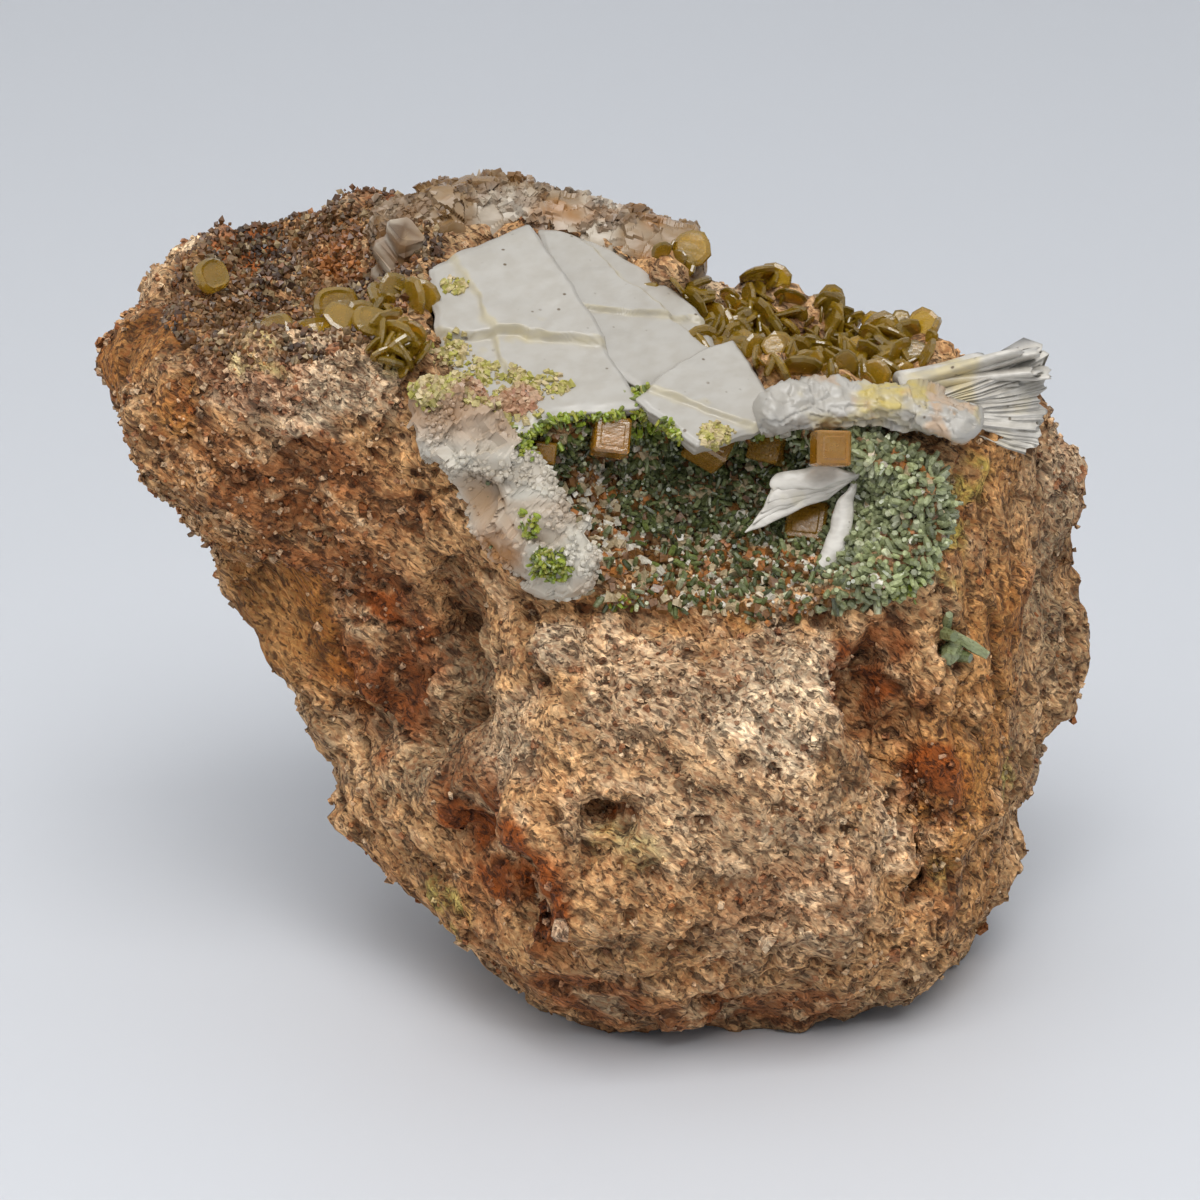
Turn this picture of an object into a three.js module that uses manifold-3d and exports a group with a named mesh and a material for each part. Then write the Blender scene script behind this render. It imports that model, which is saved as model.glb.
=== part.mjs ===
// Pyromorphite and wulfenite cluster: a loose hand specimen that stands on its narrow foot. One lump of
// iron-stained rock carries white barite plates along its top, a pocket of green pyromorphite and amber
// wulfenite in front, a druse hollow on its left shoulder and a basin of yellow wulfenite tablets behind the
// plates. Millimetres, +Z up, seen from -Y with +X to the right. z = 0 is the surface that it stands on.

import * as THREE from "three";
import { ImprovedNoise } from "three/addons/math/ImprovedNoise.js";
import { mergeVertices } from "three/addons/utils/BufferGeometryUtils.js";
import Module from "manifold-3d";

const wasm = await Module();
wasm.setup();

const { degToRad, seededRandom } = THREE.MathUtils;

// Driving dimensions
const GAP = 0.3; // free space between one mineral and the next
const EDGE_SHARPNESS = 16; // how crisply two broken faces of the rock meet
const LUMP_SIZE = 7; // width of the rock's low swellings
const LUMP_HEIGHT = 0.9;
const KNOB_SIZE = 3.4; // width of the smaller bumps on top of them
const KNOB_HEIGHT = 0.6;
const PLATE_THICKNESS = 2.2; // barite plates
const PLATE_BEVEL = 0.35; // their worn edges
const LINING = 1; // crust on the wall of a hollow
const TRIM_REACH = 80; // longer than the specimen

const FINISHES = {
  rock: finish(0xa87c50, 0.95),
  barite: finish(0xe6e2da, 0.45),
  quartz: finish(0xb7a48c, 0.35),
  druse: finish(0x8c6a42, 0.8),
  pyromorphite: finish(0x5f7a4e, 0.5),
  yellow_wulfenite: finish(0xb59a2c, 0.3),
  amber_wulfenite: finish(0xa5641c, 0.25),
};

function finish(color, roughness) {
  return new THREE.MeshStandardMaterial({ color, roughness, metalness: 0 });
}

// A broken face of a stone: it looks along an azimuth (0 is +X, -90 is towards the viewer) and an elevation,
// and lies reach away from the stone's heart.
function face(azimuth, elevation, reach) {
  const yUp = new THREE.Vector3().setFromSphericalCoords(1, degToRad(90 - elevation), degToRad(90 + azimuth));
  return { normal: new THREE.Vector3(yUp.x, -yUp.z, yUp.y), reach };
}

// Solids

function solid(geometry) {
  const bare = geometry.clone();
  bare.deleteAttribute("normal");
  bare.deleteAttribute("uv");
  const merged = mergeVertices(bare);
  return new wasm.Manifold(
    new wasm.Mesh({
      numProp: 3,
      vertProperties: merged.attributes.position.array,
      triVerts: new Uint32Array(merged.index.array),
    }),
  );
}

function geometryOf(manifold) {
  const mesh = manifold.getMesh();
  const geometry = new THREE.BufferGeometry();
  geometry.setAttribute("position", new THREE.BufferAttribute(mesh.vertProperties, 3));
  geometry.setIndex(new THREE.BufferAttribute(mesh.triVerts, 1));
  geometry.computeVertexNormals();
  return geometry;
}

function fuse(solids) {
  return solids.reduce((whole, next) => whole.add(next));
}

// The one mass that is left when the crumbs a cut has loosened fall away.
function largest(manifold) {
  return manifold.decompose().reduce((best, next) => (next.volume() > best.volume() ? next : best));
}

function placement(at, turn) {
  const rotation = new THREE.Quaternion().setFromEuler(new THREE.Euler(...turn.map(degToRad)));
  return new THREE.Matrix4().compose(new THREE.Vector3(...at), rotation, new THREE.Vector3(1, 1, 1));
}

function moved(manifold, at, turn = [0, 0, 0]) {
  return manifold.transform(placement(at, turn).elements);
}

// Rock

// A rock is a union of stones. Each stone is what its broken faces leave around its heart.
const STONES = [
  {
    heart: new THREE.Vector3(0, 3, 27), // body
    detail: 7,
    faces: [
      face(-80, 65, 18.9), // top, sloping towards the viewer
      face(48, 56, 22.6), // top right, falling away behind
      face(205, 66, 28), // left shoulder
      face(104, 51, 27), // back of the crest
      face(80, -8, 19.5), // back
      face(140, -12, 25), // back left
      face(178, -29, 22), // left
      face(246, -10, 12.8), // left front
      face(-90, 8, 14.2), // front
      face(-27, 2, 26.4), // right front
      face(8, -13, 36.6), // right
      face(45, -12, 30.5), // right back
      face(-10, -38, 35), // right foot
      face(-75, -44, 29), // front foot
      face(190, -56, 25.5), // left foot
      face(95, -48, 25), // back foot
      face(0, -90, 28.2), // bottom
    ],
  },
  {
    heart: new THREE.Vector3(-17, 4, 41), // shoulder around the left hollow
    detail: 4,
    faces: [
      face(-90, 81, 6.9), // top
      face(200, 52, 10.3), // top left
      face(180, 8, 14.6), // left
      face(178, -31, 12.4), // left, under the overhang
      face(255, -16, 12), // front
      face(255, -50, 13.5), // front, under the overhang
      face(-50, 0, 12), // front right
      face(98, 8, 15.5), // back
      face(105, 48, 13.5), // back of its rim
      face(0, 0, 10), // inside the body
      face(100, -45, 15), // under the back
      face(0, -90, 16), // bottom
    ],
  },
  {
    heart: new THREE.Vector3(6, -4, 15), // lump in front
    detail: 5,
    faces: [
      face(-82, -3, 14.3), // front
      face(-85, 35, 16.4), // brow
      face(-90, 72, 16.6), // ledge under the pocket
      face(217, 14, 16.6), // left
      face(210, -40, 17), // left foot
      face(-88, -42, 14), // front foot
      face(-25, 8, 14.8), // right
      face(-48, -40, 16.6), // right foot
      face(90, 0, 8), // inside the body
      face(0, -90, 16.2), // bottom
    ],
  },
  {
    heart: new THREE.Vector3(23, 4, 7), // knob at the right foot
    detail: 2,
    faces: [
      face(0, 5, 6.6), // right
      face(-40, 55, 5.5), // top
      face(-70, 0, 5.6), // front
      face(60, 0, 6), // back
      face(180, 0, 6), // inside the body
      face(-20, -50, 5), // foot
      face(120, -45, 5.5), // back foot
      face(120, 45, 5.5), // top back
    ],
  },
  {
    heart: new THREE.Vector3(24, 9, 20), // bulge on the right side
    detail: 2,
    faces: [
      face(0, 0, 9.6), // right
      face(0, 55, 9), // top
      face(-60, 0, 8), // front
      face(70, 0, 8), // back
      face(180, 0, 8), // inside the body
      face(0, -45, 8.6), // underside
      face(120, 50, 8), // top back
      face(120, -50, 8), // back underside
    ],
  },
];

const perlin = new ImprovedNoise();

function bumps(point, size) {
  return perlin.noise(point.x / size, point.y / size, point.z / size);
}

// The inverse sum of powers of (cosine / reach) rounds the edges where faces meet.
function stoneRadius(stone, direction) {
  const slopes = stone.faces.map(({ normal, reach }) => Math.max(0, normal.dot(direction) / reach));
  const flat = slopes.reduce((sum, slope) => sum + slope ** EDGE_SHARPNESS, 0) ** (-1 / EDGE_SHARPNESS);
  const point = direction.clone().multiplyScalar(flat).add(stone.heart);
  return flat + LUMP_HEIGHT * bumps(point, LUMP_SIZE) + KNOB_HEIGHT * bumps(point, KNOB_SIZE);
}

// A ball of flat faces whose every corner is moved out to the distance that radius(direction) gives.
function ball(detail, radius) {
  const geometry = new THREE.IcosahedronGeometry(1, detail);
  const corners = geometry.attributes.position;
  const direction = new THREE.Vector3();
  for (let i = 0; i < corners.count; i++) {
    direction.fromBufferAttribute(corners, i).normalize();
    const { x, y, z } = direction.clone().multiplyScalar(radius(direction));
    corners.setXYZ(i, x, y, z);
  }
  return geometry;
}

function stoneSolid(stone) {
  const shape = ball(stone.detail, (direction) => stoneRadius(stone, direction));
  return solid(shape.translate(...stone.heart));
}

// Hollows: each is an egg-shaped space, open where it meets the outside of the rock.
const HOLLOW_DETAIL = 3;
const HOLLOW_ROUGHNESS = 0.12;
const POCKET = { at: [7, -12.6, 37.2], radii: [14, 9, 6.6], turn: [0, 4, 0] };
const SHOULDER = { at: [-20, 3.5, 50.5], radii: [8.6, 11.5, 6.2], turn: [10, 0, 0] };
const BASIN = { at: [13.5, 3, 47], radii: [9.5, 8, 6.5], turn: [12, 14, 0] };

function hollowSpace(hollow, inset) {
  const shape = ball(HOLLOW_DETAIL, (direction) => 1 + HOLLOW_ROUGHNESS * bumps(direction, 0.4));
  shape.scale(...hollow.radii.map((radius) => radius - inset));
  return moved(solid(shape), hollow.at, hollow.turn);
}

// Chips: blocks of rock that broke away and left a ledge, a notch or a pit.
const CHIPS = [
  { at: [-9.4, -12.9, 12], size: [11, 5, 9], turn: [-14, 4, -31] }, // rusty recess under the left ledge
  { at: [18.4, -15, 26.8], size: [7, 6, 8], turn: [8, 6, 22] }, // rusty notch beside the pocket's sill
  { at: [20.4, -12.6, 17.5], size: [1.5, 5, 12], turn: [4, -4, 20] }, // crack right of the front
  { at: [-8.2, -11.5, 37], size: [1.8, 4, 2.6], turn: [0, 0, -20] }, // socket left of the pocket
  { at: [0, -18, 19.4], size: [2.2, 5, 1.8], turn: [0, 12, 0] }, // pit in the front
];

function chipSolid(chip) {
  return moved(solid(new THREE.BoxGeometry(...chip.size)), chip.at, chip.turn);
}

// Crystals, each about its own origin with its length along +Z

// A ring of flat sides around +Z, from a profile of [radius, height] points that starts and ends on the axis.
function crystal(profile, sides) {
  const points = profile.map(([radius, height]) => new THREE.Vector2(radius, height));
  return solid(new THREE.LatheGeometry(points, sides).rotateX(Math.PI / 2));
}

// A wulfenite tablet: two flat faces and a rim that tapers to an edge.
function tablet(width, thickness, sides, grow) {
  const rim = width / 2 + grow;
  const half = thickness / 2 + grow;
  const flat = rim - Math.min(0.3 * width, 0.6 * thickness);
  return crystal([[0, -half], [flat, -half], [rim, 0], [flat, half], [0, half]], sides);
}

// A wulfenite block: square, with its upper edges cut off.
function block(width, height, grow) {
  const corner = width / Math.SQRT2 + grow;
  const half = height / 2 + grow;
  const flat = corner - 0.18 * width;
  const side = half - 0.18 * width;
  return crystal([[0, -half], [corner, -half], [corner, side], [flat, half], [0, half]], 4);
}

// A pyromorphite prism of six sides.
function prism(radius, length, grow) {
  return crystal([[0, -grow], [radius + grow, -grow], [radius + grow, length + grow], [0, length + grow]], 6);
}

// A cleaved plate: an outline in the plane of its upper face, with its thickness below that face.
function plate(outline, thickness, grow) {
  const shape = new THREE.Shape(outline.map(([x, y]) => new THREE.Vector2(x, y)));
  const geometry = new THREE.ExtrudeGeometry(shape, {
    depth: thickness - 2 * PLATE_BEVEL,
    bevelThickness: PLATE_BEVEL + grow,
    bevelSize: grow + 0.01,
    bevelSegments: 1,
  });
  return solid(geometry.translate(0, 0, PLATE_BEVEL - thickness));
}

// A knobbly ridge of grown-together grains: a rounded bar bent along a smooth path, uneven around and along.
// Its width is level and square to the path, its height is square to both.
function ridge(path, width, height, steps, grow) {
  const curve = new THREE.CatmullRomCurve3(path.map((point) => new THREE.Vector3(...point)));
  const length = curve.getLength();
  const reach = (width + height) / 4 + grow;
  const geometry = new THREE.CapsuleGeometry(reach, length, 2, 6, steps);
  geometry.scale((width / 2 + grow) / reach, 1, (height / 2 + grow) / reach);
  const corners = geometry.attributes.position;
  for (let i = 0; i < corners.count; i++) {
    const corner = new THREE.Vector3().fromBufferAttribute(corners, i);
    const along = corner.y / length + 0.5;
    const onPath = THREE.MathUtils.clamp(along, 0, 1);
    const tangent = curve.getTangentAt(onPath);
    const side = tangent.clone().cross(new THREE.Vector3(0, 0, 1)).normalize();
    const rise = side.clone().cross(tangent);
    const around = new THREE.Vector3(corner.x, corner.z, 0).normalize().setZ((onPath * length) / 2);
    const swell = 1 + 0.6 * bumps(around, 1.3);
    const place = curve.getPointAt(onPath);
    place.addScaledVector(tangent, (along - onPath) * length);
    place.addScaledVector(side, swell * corner.x).addScaledVector(rise, swell * corner.z);
    corners.setXYZ(i, place.x, place.y, place.z);
  }
  return solid(geometry);
}

// Spots for the crystals of a hollow: a golden-angle spiral spreads count of them over its wall, and those
// that lie under the outside of the rock are kept. Each has the direction that leads into the hollow.
function wallSpots(hollow, count) {
  const frame = placement(hollow.at, hollow.turn);
  const radii = new THREE.Vector3(...hollow.radii).addScalar(-LINING);
  const goldenAngle = Math.PI * (3 - Math.sqrt(5));
  const spots = [];
  for (let i = 0; i < count; i++) {
    const polar = Math.acos(1 - (2 * i + 1) / count);
    const out = new THREE.Vector3().setFromSphericalCoords(1, polar, i * goldenAngle);
    const spot = out.clone().multiply(radii).applyMatrix4(frame);
    const inward = out.clone().divide(radii).negate().transformDirection(frame);
    if (buried(spot)) spots.push({ spot, inward, seed: i });
  }
  return spots;
}

// Whether a point lies at least half a millimetre inside a stone.
function buried(point) {
  return STONES.some((stone) => {
    const fromHeart = point.clone().sub(stone.heart);
    return fromHeart.length() < stoneRadius(stone, fromHeart.clone().normalize()) - 0.5;
  });
}

// One crystal on every spot, pointing into the hollow but shaken out of line by up to half of disorder.
function growFrom(spots, disorder, makeCrystal) {
  const up = new THREE.Vector3(0, 0, 1);
  return spots.map(({ spot, inward, seed }) => {
    const [x, y, z] = [1, 2, 3].map((axis) => disorder * (seededRandom(7 * seed + axis) - 0.5));
    const tip = new THREE.Vector3(x, y, z).add(inward).normalize();
    const turned = new THREE.Quaternion().setFromUnitVectors(up, tip);
    const spin = new THREE.Quaternion().setFromAxisAngle(up, 6 * seededRandom(11 * seed));
    const place = new THREE.Matrix4().compose(spot, turned.multiply(spin), new THREE.Vector3(1, 1, 1));
    return makeCrystal(seed).transform(place.elements);
  });
}

// The crust of a hollow: a shell just inside its wall, cut off at the outside of the rock, and its crystals.
function crust(hollow, crystals) {
  const shell = hollowSpace(hollow, GAP).subtract(hollowSpace(hollow, GAP + LINING));
  const grown = fuse(crystals).intersect(hollowSpace(hollow, GAP + LINING / 4));
  return shell.intersect(rockMass).add(grown);
}

// Assembly

const specimen = new THREE.Group();
const rockMass = fuse(STONES.map(stoneSolid));
let occupied = null; // every mineral placed so far, grown by the gap

// Adds a mineral whose shape is a solid about its own origin, less the space that is already taken.
function add(name, material, shape, at = [0, 0, 0], turn = [0, 0, 0]) {
  const place = placement(at, turn);
  const whole = shape.transform(place.elements);
  const free = occupied ? largest(whole.subtract(occupied)) : whole;
  const own = free.transform(place.clone().invert().elements);
  const mesh = new THREE.Mesh(geometryOf(own), FINISHES[material]);
  mesh.name = name;
  mesh.applyMatrix4(place);
  specimen.add(mesh);
}

// Adds a mineral that everything after it keeps clear of. shape(grow) has every face moved out by grow.
function seat(name, material, shape, at = [0, 0, 0], turn = [0, 0, 0]) {
  add(name, material, shape(0), at, turn);
  const grown = moved(shape(GAP), at, turn);
  occupied = occupied ? occupied.add(grown) : grown;
}

// Amber wulfenite: single blocks in the front pocket, [name, width, height, place, turn]
const AMBER_BLOCKS = [
  ["amber_block_roof_left", 2.3, 2, [0.7, -8.5, 41], [62, 8, 40]],
  ["amber_block_roof_middle", 2.5, 2.5, [7, -6.8, 40.1], [50, 20, 20]],
  ["amber_block_roof_right", 2.2, 2, [10.6, -5.6, 39.5], [64, -24, 30]],
  ["amber_block_under_rim", 2.2, 2.1, [14.3, -10, 40.7], [70, 10, 44]],
  ["amber_block_under_blade", 2.6, 2.8, [13.2, -6.2, 34.5], [58, -12, 36]],
  ["amber_block_left", 1.4, 2.2, [-3.4, -8.8, 40.1], [80, 0, 38]],
  ["amber_block_small", 1.2, 1, [1.6, -5.4, 36], [66, 16, 30]],
];
for (const [name, width, height, at, turn] of AMBER_BLOCKS) {
  seat(name, "amber_wulfenite", (grow) => block(width, height, grow), at, turn);
}

// Yellow wulfenite: larger tablets in the shoulder hollow, [name, width, thickness, place, turn]
const SHOULDER_TABLETS = [
  ["shoulder_tablet_front", 3.3, 1, [-17.6, -3.2, 46], [28, 10, 20]],
  ["shoulder_tablet_back", 3, 1.1, [-17, 3.6, 46], [66, 16, 10]],
  ["shoulder_tablet_edge", 2.8, 0.9, [-20.4, -2.6, 46], [56, -34, 0]],
  ["shoulder_tablet_left", 2.6, 1.2, [-25.2, 5.5, 47.6], [50, 40, 35]],
  ["shoulder_tablet_right", 2.6, 1, [-14.2, -3, 46.8], [34, 22, 0]],
];
for (const [name, width, thickness, at, turn] of SHOULDER_TABLETS) {
  seat(name, "yellow_wulfenite", (grow) => tablet(width, thickness, 6, grow), at, turn);
}

// Barite: three cleaved plates, [name, place, turn, outline]
const PLATES = [
  ["barite_plate_main", [-3, -1, 47.8], [25, 4, 0],
    [[-7.8, 2.7], [-7.1, -2.8], [-4.7, -7.8], [-2, -11.4], [0.5, -9.7], [5.5, -8.7], [-1.6, 7.5]]],
  ["barite_plate_rear", [4, 1.5, 46.6], [20, 12, 0],
    [[-8, 6.4], [-5, -5.5], [-1.4, -8], [3.2, -3.4], [3.5, -1.6], [1.9, 1.6], [-1.4, 4.6], [-4.8, 6.8]]],
  ["barite_plate_side", [8, -6, 44], [28, 12, 0],
    [[-5.5, -2.4], [-3.9, -3.9], [-1.9, -5.6], [2.3, -3.1], [2.8, -1.6], [0.4, 3.5], [-1.8, 1.9]]],
];
for (const [name, at, turn, outline] of PLATES) {
  seat(name, "barite", (grow) => plate(outline, PLATE_THICKNESS, grow), at, turn);
}

// Barite: the rim in front of the basin
const RIM_PATH = [[10.5, -7.5, 42.4], [15, -7.2, 42.6], [19.5, -7.4, 42.4], [23.6, -9, 41.6]];
seat("barite_rim", "barite", (grow) => ridge(RIM_PATH, 4.2, 3, 6, grow));

// Barite: the fan of blades on the right corner, which opens from one root
const FAN_BLADE = [[0, -0.8], [9.4, -2.8], [10.4, 0], [9.4, 2.4], [0, 0.8]];
const FAN_BLADES = 5;
const FAN_BLADE_THICKNESS = 1.7;
function fan(grow) {
  const blades = [];
  for (let i = 0; i < FAN_BLADES; i++) {
    const opening = i / (FAN_BLADES - 1);
    const turn = [24 - 50 * opening, 12 - 26 * opening, 44 - 52 * opening];
    const rise = 0.5 - 0.5 * opening;
    blades.push(moved(plate(FAN_BLADE, FAN_BLADE_THICKNESS, grow), [0, 0, rise], turn));
  }
  return fuse(blades);
}
seat("barite_fan", "barite", fan, [19, -3.5, 42.6]);

// Barite: the hooked blade in the pocket
const HOOK_OUTLINE = [
  [-4, -2], [-3, 0], [0, 1], [3.2, 1.4], [2.4, 0.2], [1.6, -3.4], [-0.8, -4.6], [0.8, -3], [1, -0.6],
  [-1, -0.8],
];
const HOOK_THICKNESS = 1.2;
const hook = (grow) => plate(HOOK_OUTLINE, HOOK_THICKNESS, grow);
seat("pocket_blade", "barite", hook, [12.8, -7, 37.1], [64, 0, 4]);

// Quartz: the smoky crest behind the plates and the pale lip along the pocket's left edge
const CREST_PATH = [[-14.5, 8, 48.6], [-9.5, 11, 50.2], [-3.5, 11, 49.4], [2.5, 10, 48], [7, 9, 46.8]];
const LIP_PATH = [[-11.6, -9.4, 44.4], [-8, -10.6, 41.4], [-5.2, -11.2, 37], [-1.2, -12.4, 32]];
seat("quartz_crest", "quartz", (grow) => ridge(CREST_PATH, 5.6, 4.8, 9, grow));
seat("quartz_lip", "quartz", (grow) => ridge(LIP_PATH, 2.6, 5.2, 7, grow));

// Pyromorphite: a sprig of prisms in the crack on the right side, [tilt, spin] of each
const SPRIG = [[50, 30], [80, -40], [105, 10]];
function sprig(grow) {
  return fuse(SPRIG.map(([tilt, spin], i) => {
    return moved(prism(0.6, 2.6 + 0.4 * i, grow), [0.5 * i, 0, 0.4 * i], [tilt, 0, spin]);
  }));
}
seat("crack_pyromorphite", "pyromorphite", sprig, [21.6, -9, 27]);

// Crusts of the three hollows, with the count of spots over the whole of each wall
const POCKET_SPOTS = 52;
const SHOULDER_SPOTS = 36;
const BASIN_SPOTS = 50;

const pocketPrisms = growFrom(wallSpots(POCKET, POCKET_SPOTS), 1.6, (seed) => {
  return prism(0.6 + 0.3 * seededRandom(seed), 1.6, 0);
});
add("pocket_pyromorphite", "pyromorphite", crust(POCKET, pocketPrisms));

const shoulderGrains = growFrom(wallSpots(SHOULDER, SHOULDER_SPOTS), 2, (seed) => {
  const width = 1 + 0.6 * seededRandom(seed);
  return solid(new THREE.BoxGeometry(width, width, width));
});
add("shoulder_druse", "druse", crust(SHOULDER, shoulderGrains));

const basinTablets = growFrom(wallSpots(BASIN, BASIN_SPOTS), 2.4, (seed) => {
  return moved(tablet(2.3 + seededRandom(seed), 0.9, 4, 0), [0, 0, 0.4], [75, 0, 0]);
});
add("basin_wulfenite", "yellow_wulfenite", crust(BASIN, basinTablets));

// The rock, less its hollows, its chips and the seats of what grew in it, cut off flat at the foot
const spaces = [POCKET, SHOULDER, BASIN].map((hollow) => hollowSpace(hollow, 0));
const broken = rockMass.subtract(fuse([...spaces, ...CHIPS.map(chipSolid)]));
const aboveFoot = new THREE.BoxGeometry(TRIM_REACH, TRIM_REACH, TRIM_REACH).translate(0, 0, TRIM_REACH / 2);
add("matrix_rock", "rock", broken.intersect(solid(aboveFoot)));

// Centred over the surface
const box = new THREE.Box3().setFromObject(specimen, true);
const middle = box.getCenter(new THREE.Vector3());
specimen.position.set(-middle.x, -middle.y, -box.min.z);

const cluster = new THREE.Group();
cluster.add(specimen);

export default cluster;
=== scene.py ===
"""Looks of the pyromorphite and wulfenite cluster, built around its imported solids.

Shape functions work in millimetres in the frame of the solids; surface() writes them to a mesh in metres.
"""

import bpy
import numpy as np
from bpy.props import FloatProperty, FloatVectorProperty, IntProperty, PointerProperty
from mathutils import Matrix, Vector


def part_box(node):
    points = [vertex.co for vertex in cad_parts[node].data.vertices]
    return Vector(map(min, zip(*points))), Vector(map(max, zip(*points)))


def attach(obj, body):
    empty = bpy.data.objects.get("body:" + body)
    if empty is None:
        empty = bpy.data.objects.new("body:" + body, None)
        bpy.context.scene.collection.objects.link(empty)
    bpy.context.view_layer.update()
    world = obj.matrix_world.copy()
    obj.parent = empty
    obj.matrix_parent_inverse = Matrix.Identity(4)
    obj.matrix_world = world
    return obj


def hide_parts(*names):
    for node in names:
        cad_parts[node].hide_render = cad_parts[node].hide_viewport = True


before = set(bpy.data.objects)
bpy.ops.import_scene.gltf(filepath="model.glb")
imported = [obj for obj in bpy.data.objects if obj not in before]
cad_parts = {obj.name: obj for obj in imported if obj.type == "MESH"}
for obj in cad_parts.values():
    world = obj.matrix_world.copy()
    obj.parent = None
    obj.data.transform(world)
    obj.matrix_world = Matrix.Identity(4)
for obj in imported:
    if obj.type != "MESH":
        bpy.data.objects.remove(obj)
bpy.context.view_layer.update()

bl_info = {
    "name": "Pyromorphite and wulfenite cluster",
    "version": (1, 0, 0),
    "blender": (4, 5, 0),
    "location": "View3D > Sidebar > Cluster",
    "description": "Dresses the solids of a mineral specimen with rock, barite, quartz and crystal crusts",
    "category": "Add Mesh",
}

MM = 0.001
ORIGIN = np.array((-0.387, -3.321, 0.0))  # where the construction's own origin lies in the frame
NO_TRIANGLES = np.zeros((0, 3), int)

ROCK = "rock"
LIP = "quartz_lip_druse"

# Hollows of the rock: the place, the three radii and the turn of each egg-shaped space
POCKET = ((7.0, -12.6, 37.2), (14.0, 9.0, 6.6), (0, 4, 0))
SHOULDER = ((-20.0, 3.5, 50.5), (8.6, 11.5, 6.2), (10, 0, 0))
BASIN = ((13.5, 3.0, 47.0), (9.5, 8.0, 6.5), (12, 14, 0))

# Directions in which the rock's beds and streaks run
FRONT_BEDS = (0.77, -0.05, -0.62)
RIGHT_BEDS = (0.12, 0.1, -1.0)

# Stains of the rock: spots of each kind as (heart, radius, strength)
STAINS = {
    "rust": (
        ((-19.2, -10.7, 37.7), 7.5, 0.65),
        ((-17.5, -8.0, 29.0), 5.0, 0.7),
        ((-24.5, -8.5, 41.0), 5.0, 0.6),
        ((-30.0, -2.0, 44.5), 4.0, 0.55),
        ((-15.0, -7.0, 22.0), 4.5, 0.9),
        ((-13.0, -9.5, 25.5), 3.5, 0.7),
        ((-16.4, -8.4, 31.6), 5.0, 0.5),
        ((15.9, -15.7, 25.5), 4.0, 1.0),
        ((17.6, -14.2, 28.0), 2.4, 0.8),
        ((-8.6, -16.7, 16.2), 3.8, 1.0),
        ((-6.0, -20.4, 13.6), 5.0, 1.3),
        ((-3.5, -20.0, 10.5), 3.0, 0.8),
        ((-0.4, -17.5, 5.0), 4.0, 0.8),
        ((6.0, -17.5, 4.0), 4.0, 0.6),
        ((12.7, -14.3, 2.5), 4.0, 0.7),
        ((21.0, -14.5, 19.0), 2.6, 0.9),
        ((21.5, -14.6, 10.6), 3.0, 0.5),
        ((1.2, -21.0, 19.5), 1.6, 0.9),
    ),
    "pale": (
        ((-23.0, -11.0, 43.9), 2.8, 0.7),
        ((-18.9, -11.9, 45.0), 4.2, 1.0),
        ((-14.5, -12.0, 44.5), 3.5, 0.9),
        ((11.4, -18.4, 26.0), 4.0, 1.0),
        ((8.0, -19.0, 27.5), 4.0, 0.9),
        ((2.7, -18.6, 27.4), 4.4, 1.0),
        ((-2.6, -16.6, 28.8), 2.2, 1.0),
        ((12.0, -16.0, 28.9), 2.6, 0.8),
        ((5.7, -22.2, 20.8), 7.0, 0.25),
        ((12.1, -20.7, 14.8), 7.0, 0.3),
        ((18.6, -15.0, 16.0), 3.2, 0.9),
        ((-5.0, -16.5, 22.5), 4.0, 0.6),
        ((30.5, 5.0, 36.0), 6.0, 0.7),
    ),
    "grey": (
        ((-9.5, -12.4, 25.5), 4.0, 0.8),
        ((-12.0, -10.7, 19.0), 4.0, 0.6),
        ((-30.1, -1.6, 44.9), 4.0, 0.7),
        ((-28.0, -6.0, 45.0), 3.0, 0.6),
        ((2.0, -22.3, 15.4), 5.0, 0.35),
        ((29.9, 1.0, 25.5), 4.0, 0.6),
        ((30.6, 2.9, 29.1), 3.5, 0.6),
    ),
    "ochre": (
        ((2.7, -18.9, 26.7), 4.0, 0.45),
        ((0.2, -17.5, 28.2), 3.2, 0.5),
        ((6.5, -17.5, 28.6), 2.6, 0.5),
        ((-26.6, -9.4, 42.5), 2.4, 0.9),
        ((-16.0, -6.6, 22.6), 1.6, 0.8),
        ((22.6, -13.9, 17.3), 5.5, 0.9),
        ((25.6, -8.3, 22.5), 6.0, 0.8),
        ((24.5, -9.0, 31.0), 5.5, 0.8),
        ((25.1, -7.8, 36.8), 4.0, 0.8),
        ((24.7, -8.9, 9.4), 4.0, 0.6),
        ((8.3, -15.2, 30.2), 1.3, 1.0),
        ((4.5, -15.0, 30.0), 1.3, 1.0),
        ((12.5, -15.0, 29.9), 1.4, 0.9),
        ((-6.2, -15.0, 34.0), 1.8, 1.0),
    ),
    "lime": (
        ((-13.4, -10.3, 46.0), 2.2, 0.9),
        ((-21.0, -10.0, 45.6), 1.8, 0.6),
        ((21.6, -12.7, 33.1), 2.6, 0.8),
        ((22.9, -11.0, 36.5), 2.2, 0.7),
        ((26.8, -6.4, 15.5), 2.4, 0.7),
        ((21.0, -13.5, 12.0), 1.8, 0.4),
        ((-10.9, -11.8, 8.6), 2.6, 0.7),
        ((-3.5, -18.6, 23.2), 0.9, 0.8),
        ((11.0, -17.0, 8.0), 1.3, 0.5),
        ((1.2, -22.3, 17.5), 2.2, 0.35),
    ),
    "bare": (
        ((-21.8, -4.6, 26.8), 4.5, 1.0),
        ((-23.6, -3.5, 30.5), 3.5, 0.9),
        ((-19.0, -4.5, 22.0), 3.0, 0.7),
        ((-29.0, -3.6, 43.6), 4.6, 1.0),
        ((23.6, -11.5, 20.0), 3.0, 0.6),
        ((25.0, -8.2, 27.5), 3.0, 0.6),
        ((-1.6, -11.0, 37.0), 3.4, 1.0),
    ),
}

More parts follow.
